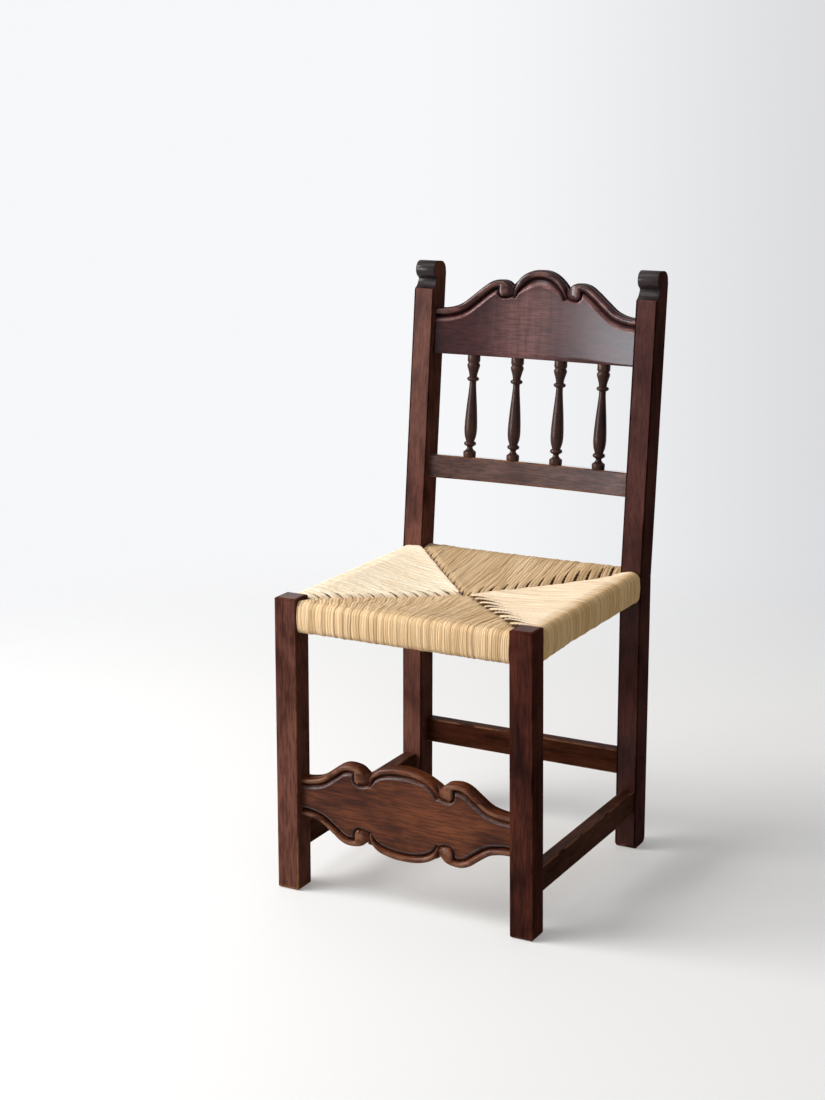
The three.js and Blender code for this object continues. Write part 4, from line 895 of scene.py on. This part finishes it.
# Each panel's tone is partly its own colour and partly painted light: the left panel is painted paler
# where it slopes away from the lamp, and the right side face warmer where it is in shade. Shade is painted
# shade over a whole panel.
rush_panels = {
    "front": cross_panel(
        SEAT_FRONT, 1, FRONT_CORNER, (14, 14), laid=(UNDER_LEFT_FINGERS, UNDER_RIGHT_FINGERS), dip=0.0,
        twist=(-0.48, 0.0), seam=0.06, shade=0.0, sinks=0, tone=(0.72, 0.8)),
    "rear": cross_panel(
        SEAT_REAR, -1, REAR_CORNER, (14, 12), laid=(UNDER_LEFT_EDGE, UNDER_RIGHT_EDGE), dip=2.0,
        twist=(0.15, 0.11), seam=0.05, shade=0.14, sinks=1, tone=(0.75, 0.7)),
    "left": side_panel(
        -1, (14, 14), laid=(FINGERS_LEFT, EDGE), dip=0.0,
        twist=(-0.33, -0.20), seam=0.22, shade=0.0, sinks=0, tone=(-0.22, -0.1)),
    "right": side_panel(
        1, (9, 14), laid=(FINGERS_RIGHT, EDGE), dip=0.0,
        twist=(0.08, 0.12), seam=0.15, shade=0.0, sinks=1, tone=(0.05, 1.15)),
}


def twisted_rush(name):
    """Dried rush, twisted from leaves: straw and cream, with painted shade in the creases between leaves
    and between cords, in the gaps between cords, and where it passes into the seat.
    """
    material, place = new_finish(name)
    cord, turn, run = place.attribute(CORD), place.attribute(TURN), place.attribute(RUN)
    tuck_shade, tone = place.attribute(TUCK_SHADE), place.attribute(TONE_AND_LIGHT)
    number = place.sum("FLOOR", cord)
    leaf = (cord - number + turn) * LEAVES + number * CORD_TURN
    leaf_number = place.sum("FLOOR", leaf)

    def spot(x, y, z=0.0):
        return place.node("ShaderNodeCombineXYZ", {}, {"X": x, "Y": y, "Z": z})

    own = place.node("ShaderNodeTexWhiteNoise", {"noise_dimensions": "2D"},
                     {"Vector": spot(number + 0.37, leaf_number + 0.61)})
    fold = place.sum("ABSOLUTE", leaf - leaf_number - 0.5) * 2
    seam = place.sum("ABSOLUTE", cord - number - 0.5) * 2
    strand = spot(leaf * 3.0, run * 0.03, number * 0.71)
    fibre = strand.noise(3, 0.6)
    fine = strand.stretched((3.0, 2.4, 1.0)).noise(2, 0.6)
    slow = spot(cord * 0.16, run * 0.010, 3.0).noise(2)
    shade = (own * 0.38 + fibre * 0.34 + fine * 0.28).between(0.18, 0.82)
    pale = shade.mix((0.765, 0.57, 0.37), (0.965, 0.79, 0.585))
    tan = shade.mix((0.51, 0.32, 0.15), (0.84, 0.585, 0.33))
    rush = (tone + (slow - 0.5) * 0.6).between(0.0, 1.0).mix(pale, tan)
    amber = shade.mix((0.72, 0.44, 0.185), (1.0, 0.71, 0.36))
    cream = shade.mix((0.85, 0.71, 0.50), (0.99, 0.90, 0.72))
    # Colour by panel and face, partly the rush's own and partly painted light: amber on the shaded side
    # face, cream where a panel slopes away from the lamp.
    rush = tone.between(0.75, 1.2).mix(rush, amber)
    rush = (tone * -1).between(0.0, 0.4).mix(rush, cream)
    flecks = strand.stretched((1.6, 5.0, 1.0)).noise(2).between(0.68, 0.76)
    fissure = strand.stretched((3.4, 0.9, 1.0)).noise(2).between(0.54, 0.66)
    rush = (flecks * 0.4).mix(rush, (0.26, 0.14, 0.06))
    rush = (fissure * (0.14 + tone * 0.24)).mix(rush, (0.24, 0.13, 0.055))
    # Painted shade in the creases between leaves and between cords, stronger on the faces.
    rush = ((fold ** 8) * (0.26 + tone * 0.28) * (0.2 + own * 1.3)).mix(rush, (0.17, 0.088, 0.035))
    rush = ((seam ** 14) * (0.05 + tone * 0.05)).mix(rush, (0.15, 0.078, 0.030))
    # Painted shade, a near-black brown, in the gaps, past the diagonals and inside the seat.
    rush = tuck_shade.mix(rush, (0.062, 0.031, 0.013))
    relief = fibre * 0.5 + fine * 0.4 - (fold ** 4) * 0.4
    surface(place, rush, 0.55 + fine * 0.16, relief, 0.0004, Specular_IOR_Level=0.01).shown()
    return material


rush_finish = twisted_rush("twisted_rush")
laying = np.random.default_rng(41)
for name, panel in rush_panels.items():
    woven = rush_panel(panel, laying)
    chair_piece(woven, f"rush_panel_{name}", rush_finish, f"rush_{name}", 70)


# Packing: wads of dry rush leaves, pushed between the two layers of the weave from the rails
# inwards, which keep the seat full. They are felt more than seen.
PACK_START, PACK_TIP, PACK_MARGIN, PACK_ROOM_ABOVE, PACK_ROOM_BELOW = 27.5, 6, 0.15, 4, 3


def packing_finish(name):
    material, place = new_finish(name)
    tangle = place.stretched((240, 90, 240)).noise(4, 0.7)
    husk = place.stretched((60, 160, 60)).noise(3, 0.6).between(0.35, 0.65)
    straw = tangle.between(0.3, 0.7).mix((0.16, 0.095, 0.042), (0.42, 0.29, 0.15))
    straw = (husk * 0.5).mix(straw, (0.26, 0.18, 0.09))
    surface(place, straw, 0.8 + tangle * 0.15, tangle, 0.0012, Specular_IOR_Level=0.2).shown()
    return material


def packing_wad(panel):
    """A closed crowned wad that fills its panel's pocket and thins towards the middle."""
    rail, _ = panel["columns"]
    margin = PACK_MARGIN * (rail[-1] - rail[0])
    along = np.linspace(rail[0] + margin, rail[-1] - margin, 41)
    reach = panel["reach"](along) - PACK_TIP
    shares_along = np.clip((along - along[0]) / (along[-1] - along[0]), 0.02, 0.98)
    round_over = np.sin(np.pi * shares_along) ** 0.25
    inwards = np.linspace(0, 1, 12)
    rows = []
    for face, shares in ((1, inwards), (-1, inwards[::-1][1:-1])):
        for share in shares:
            inward = PACK_START + (reach - PACK_START) * share
            sag = sag_at(panel, along, inward)
            upper = SEAT_TOP - SAG * sag - RUSH_THICK - PACK_ROOM_ABOVE
            under = SEAT_UNDER + RISE * sag + RUSH_THICK + PACK_ROOM_BELOW
            middle, half = (upper + under) / 2, (upper - under) / 2
            full = half * round_over * math.sin(math.pi * min(max(share, 0.03), 0.97)) ** 0.3
            rows.append(panel["at"](along, inward, middle + face * full))
    return skin(np.array(rows))


straw_packing = packing_finish("dry_rush_packing")
for name, panel in rush_panels.items():
    packed = chair_piece(
        packing_wad(panel), f"packing_wad_{name}", straw_packing, f"packing_{name}", 60)


# The studio: a white floor that fades into a white room, which is dimmer to the right. A
# large lamp stands to the left, and a low one, as bright as a window, to the left in front.
FLOOR_FADE = (0.75, 2.1)
WHITE_WALL, GREY_WALL, UNLIT_ROOM = (0.93, 0.935, 0.95), (0.68, 0.685, 0.70), (0.48, 0.485, 0.495)
TO_RIGHT, TO_BACK, TO_WINDOW = (0.878, 0.479, 0), (-0.479, 0.878, 0), (-0.85, -0.45, 0)


def looked_at(wire):
    """1 for the rays that see a thing or mirror it, and 0 for those that only gather light."""
    rays = [wire.node("ShaderNodeLightPath", {}, {}, name)
            for name in ("Is Camera Ray", "Is Glossy Ray", "Is Transmission Ray")]
    return wire.sum("MAXIMUM", rays[0], wire.sum("MAXIMUM", rays[1], rays[2]))


def floor_finish():
    material, place = new_finish("studio_floor")
    mottle = place.stretched((1.1, 1.1, 1.1)).noise(2)
    seen = looked_at(place)
    colour = seen.mix((0.44, 0.43, 0.42), mottle.mix((0.625, 0.62, 0.61), (0.655, 0.65, 0.64)))
    glow = seen.mix((0, 0, 0), (0.20, 0.195, 0.19))
    paint = surface(place, colour, 0.65, mottle, 0.0002, Specular_IOR_Level=0.2,
                    Emission_Color=glow, Emission_Strength=1.0)
    distance = place.node("ShaderNodeVectorMath", {"operation": "LENGTH"}, {0: place}, "Value")
    clear = place.node("ShaderNodeBsdfTransparent", {}, {})
    place.node("ShaderNodeMixShader", {}, {0: distance.between(*FLOOR_FADE), 1: paint, 2: clear}).shown()
    return material


floor_mesh = bmesh.new()
bmesh.ops.create_grid(floor_mesh, x_segments=1, y_segments=1, size=30)
floor = made_of(floor_mesh, "studio_floor", floor_finish())


def soft_lamp(name, place, target, size, power, colour):
    data = bpy.data.lights.new(name, "AREA")
    data.shape = "DISK"
    data.size, data.energy, data.color = size, power, colour
    aim = (Vector(target) - Vector(place)).to_track_quat("-Z", "Y")
    added(name, data).matrix_world = Matrix.Translation(place) @ aim.to_matrix().to_4x4()


soft_lamp("key_lamp", (-3.3, -1.6, 2.5), (0, 0, 0.4), 2.2, 160, (1.0, 0.985, 0.96))
soft_lamp("top_lamp", (-1.1, -1.1, 3.4), (0, 0, 0.4), 1.8, 26, (0.97, 0.985, 1.0))
soft_lamp("window_lamp", (-2.05, -2.2, 1.0), (0, 0.2, 0.7), 1.2, 46, (0.91, 0.95, 1.0))

world = bpy.data.worlds.new("studio_room")
world.use_nodes = True
world.node_tree.nodes.clear()
room = Wire(world.node_tree, None)
direction = room.node("ShaderNodeTexCoord", {}, {}, "Generated")


def facing(towards):
    """How far a direction in the room points one way: 1 when it is that way, -1 when opposite."""
    return room.node("ShaderNodeVectorMath", {"operation": "DOT_PRODUCT"},
                     {0: direction, 1: Vector(towards).normalized()}, "Value")


wall = facing(TO_RIGHT).between(0.0, 0.26).mix(WHITE_WALL, GREY_WALL)
wall = facing(TO_BACK).between(0.35, 0.8).mix(UNLIT_ROOM, wall)
wall = facing(TO_WINDOW).between(0.5, 1.0).mix(wall, WHITE_WALL)
window_side = facing((-0.85, -0.45, 0.25)).between(-0.9, 0.9)
seen = room.node("ShaderNodeBackground", {}, {"Color": wall, "Strength": 1.0})
lit = room.node("ShaderNodeBackground", {}, {
    "Color": window_side.mix((0.225, 0.225, 0.225), (0.54, 0.55, 0.57)), "Strength": 1.0})
room.node("ShaderNodeMixShader", {}, {0: looked_at(room), 1: lit, 2: seen}).shown("ShaderNodeOutputWorld")
bpy.context.scene.world = world
bpy.context.scene.view_settings.view_transform = "Standard"
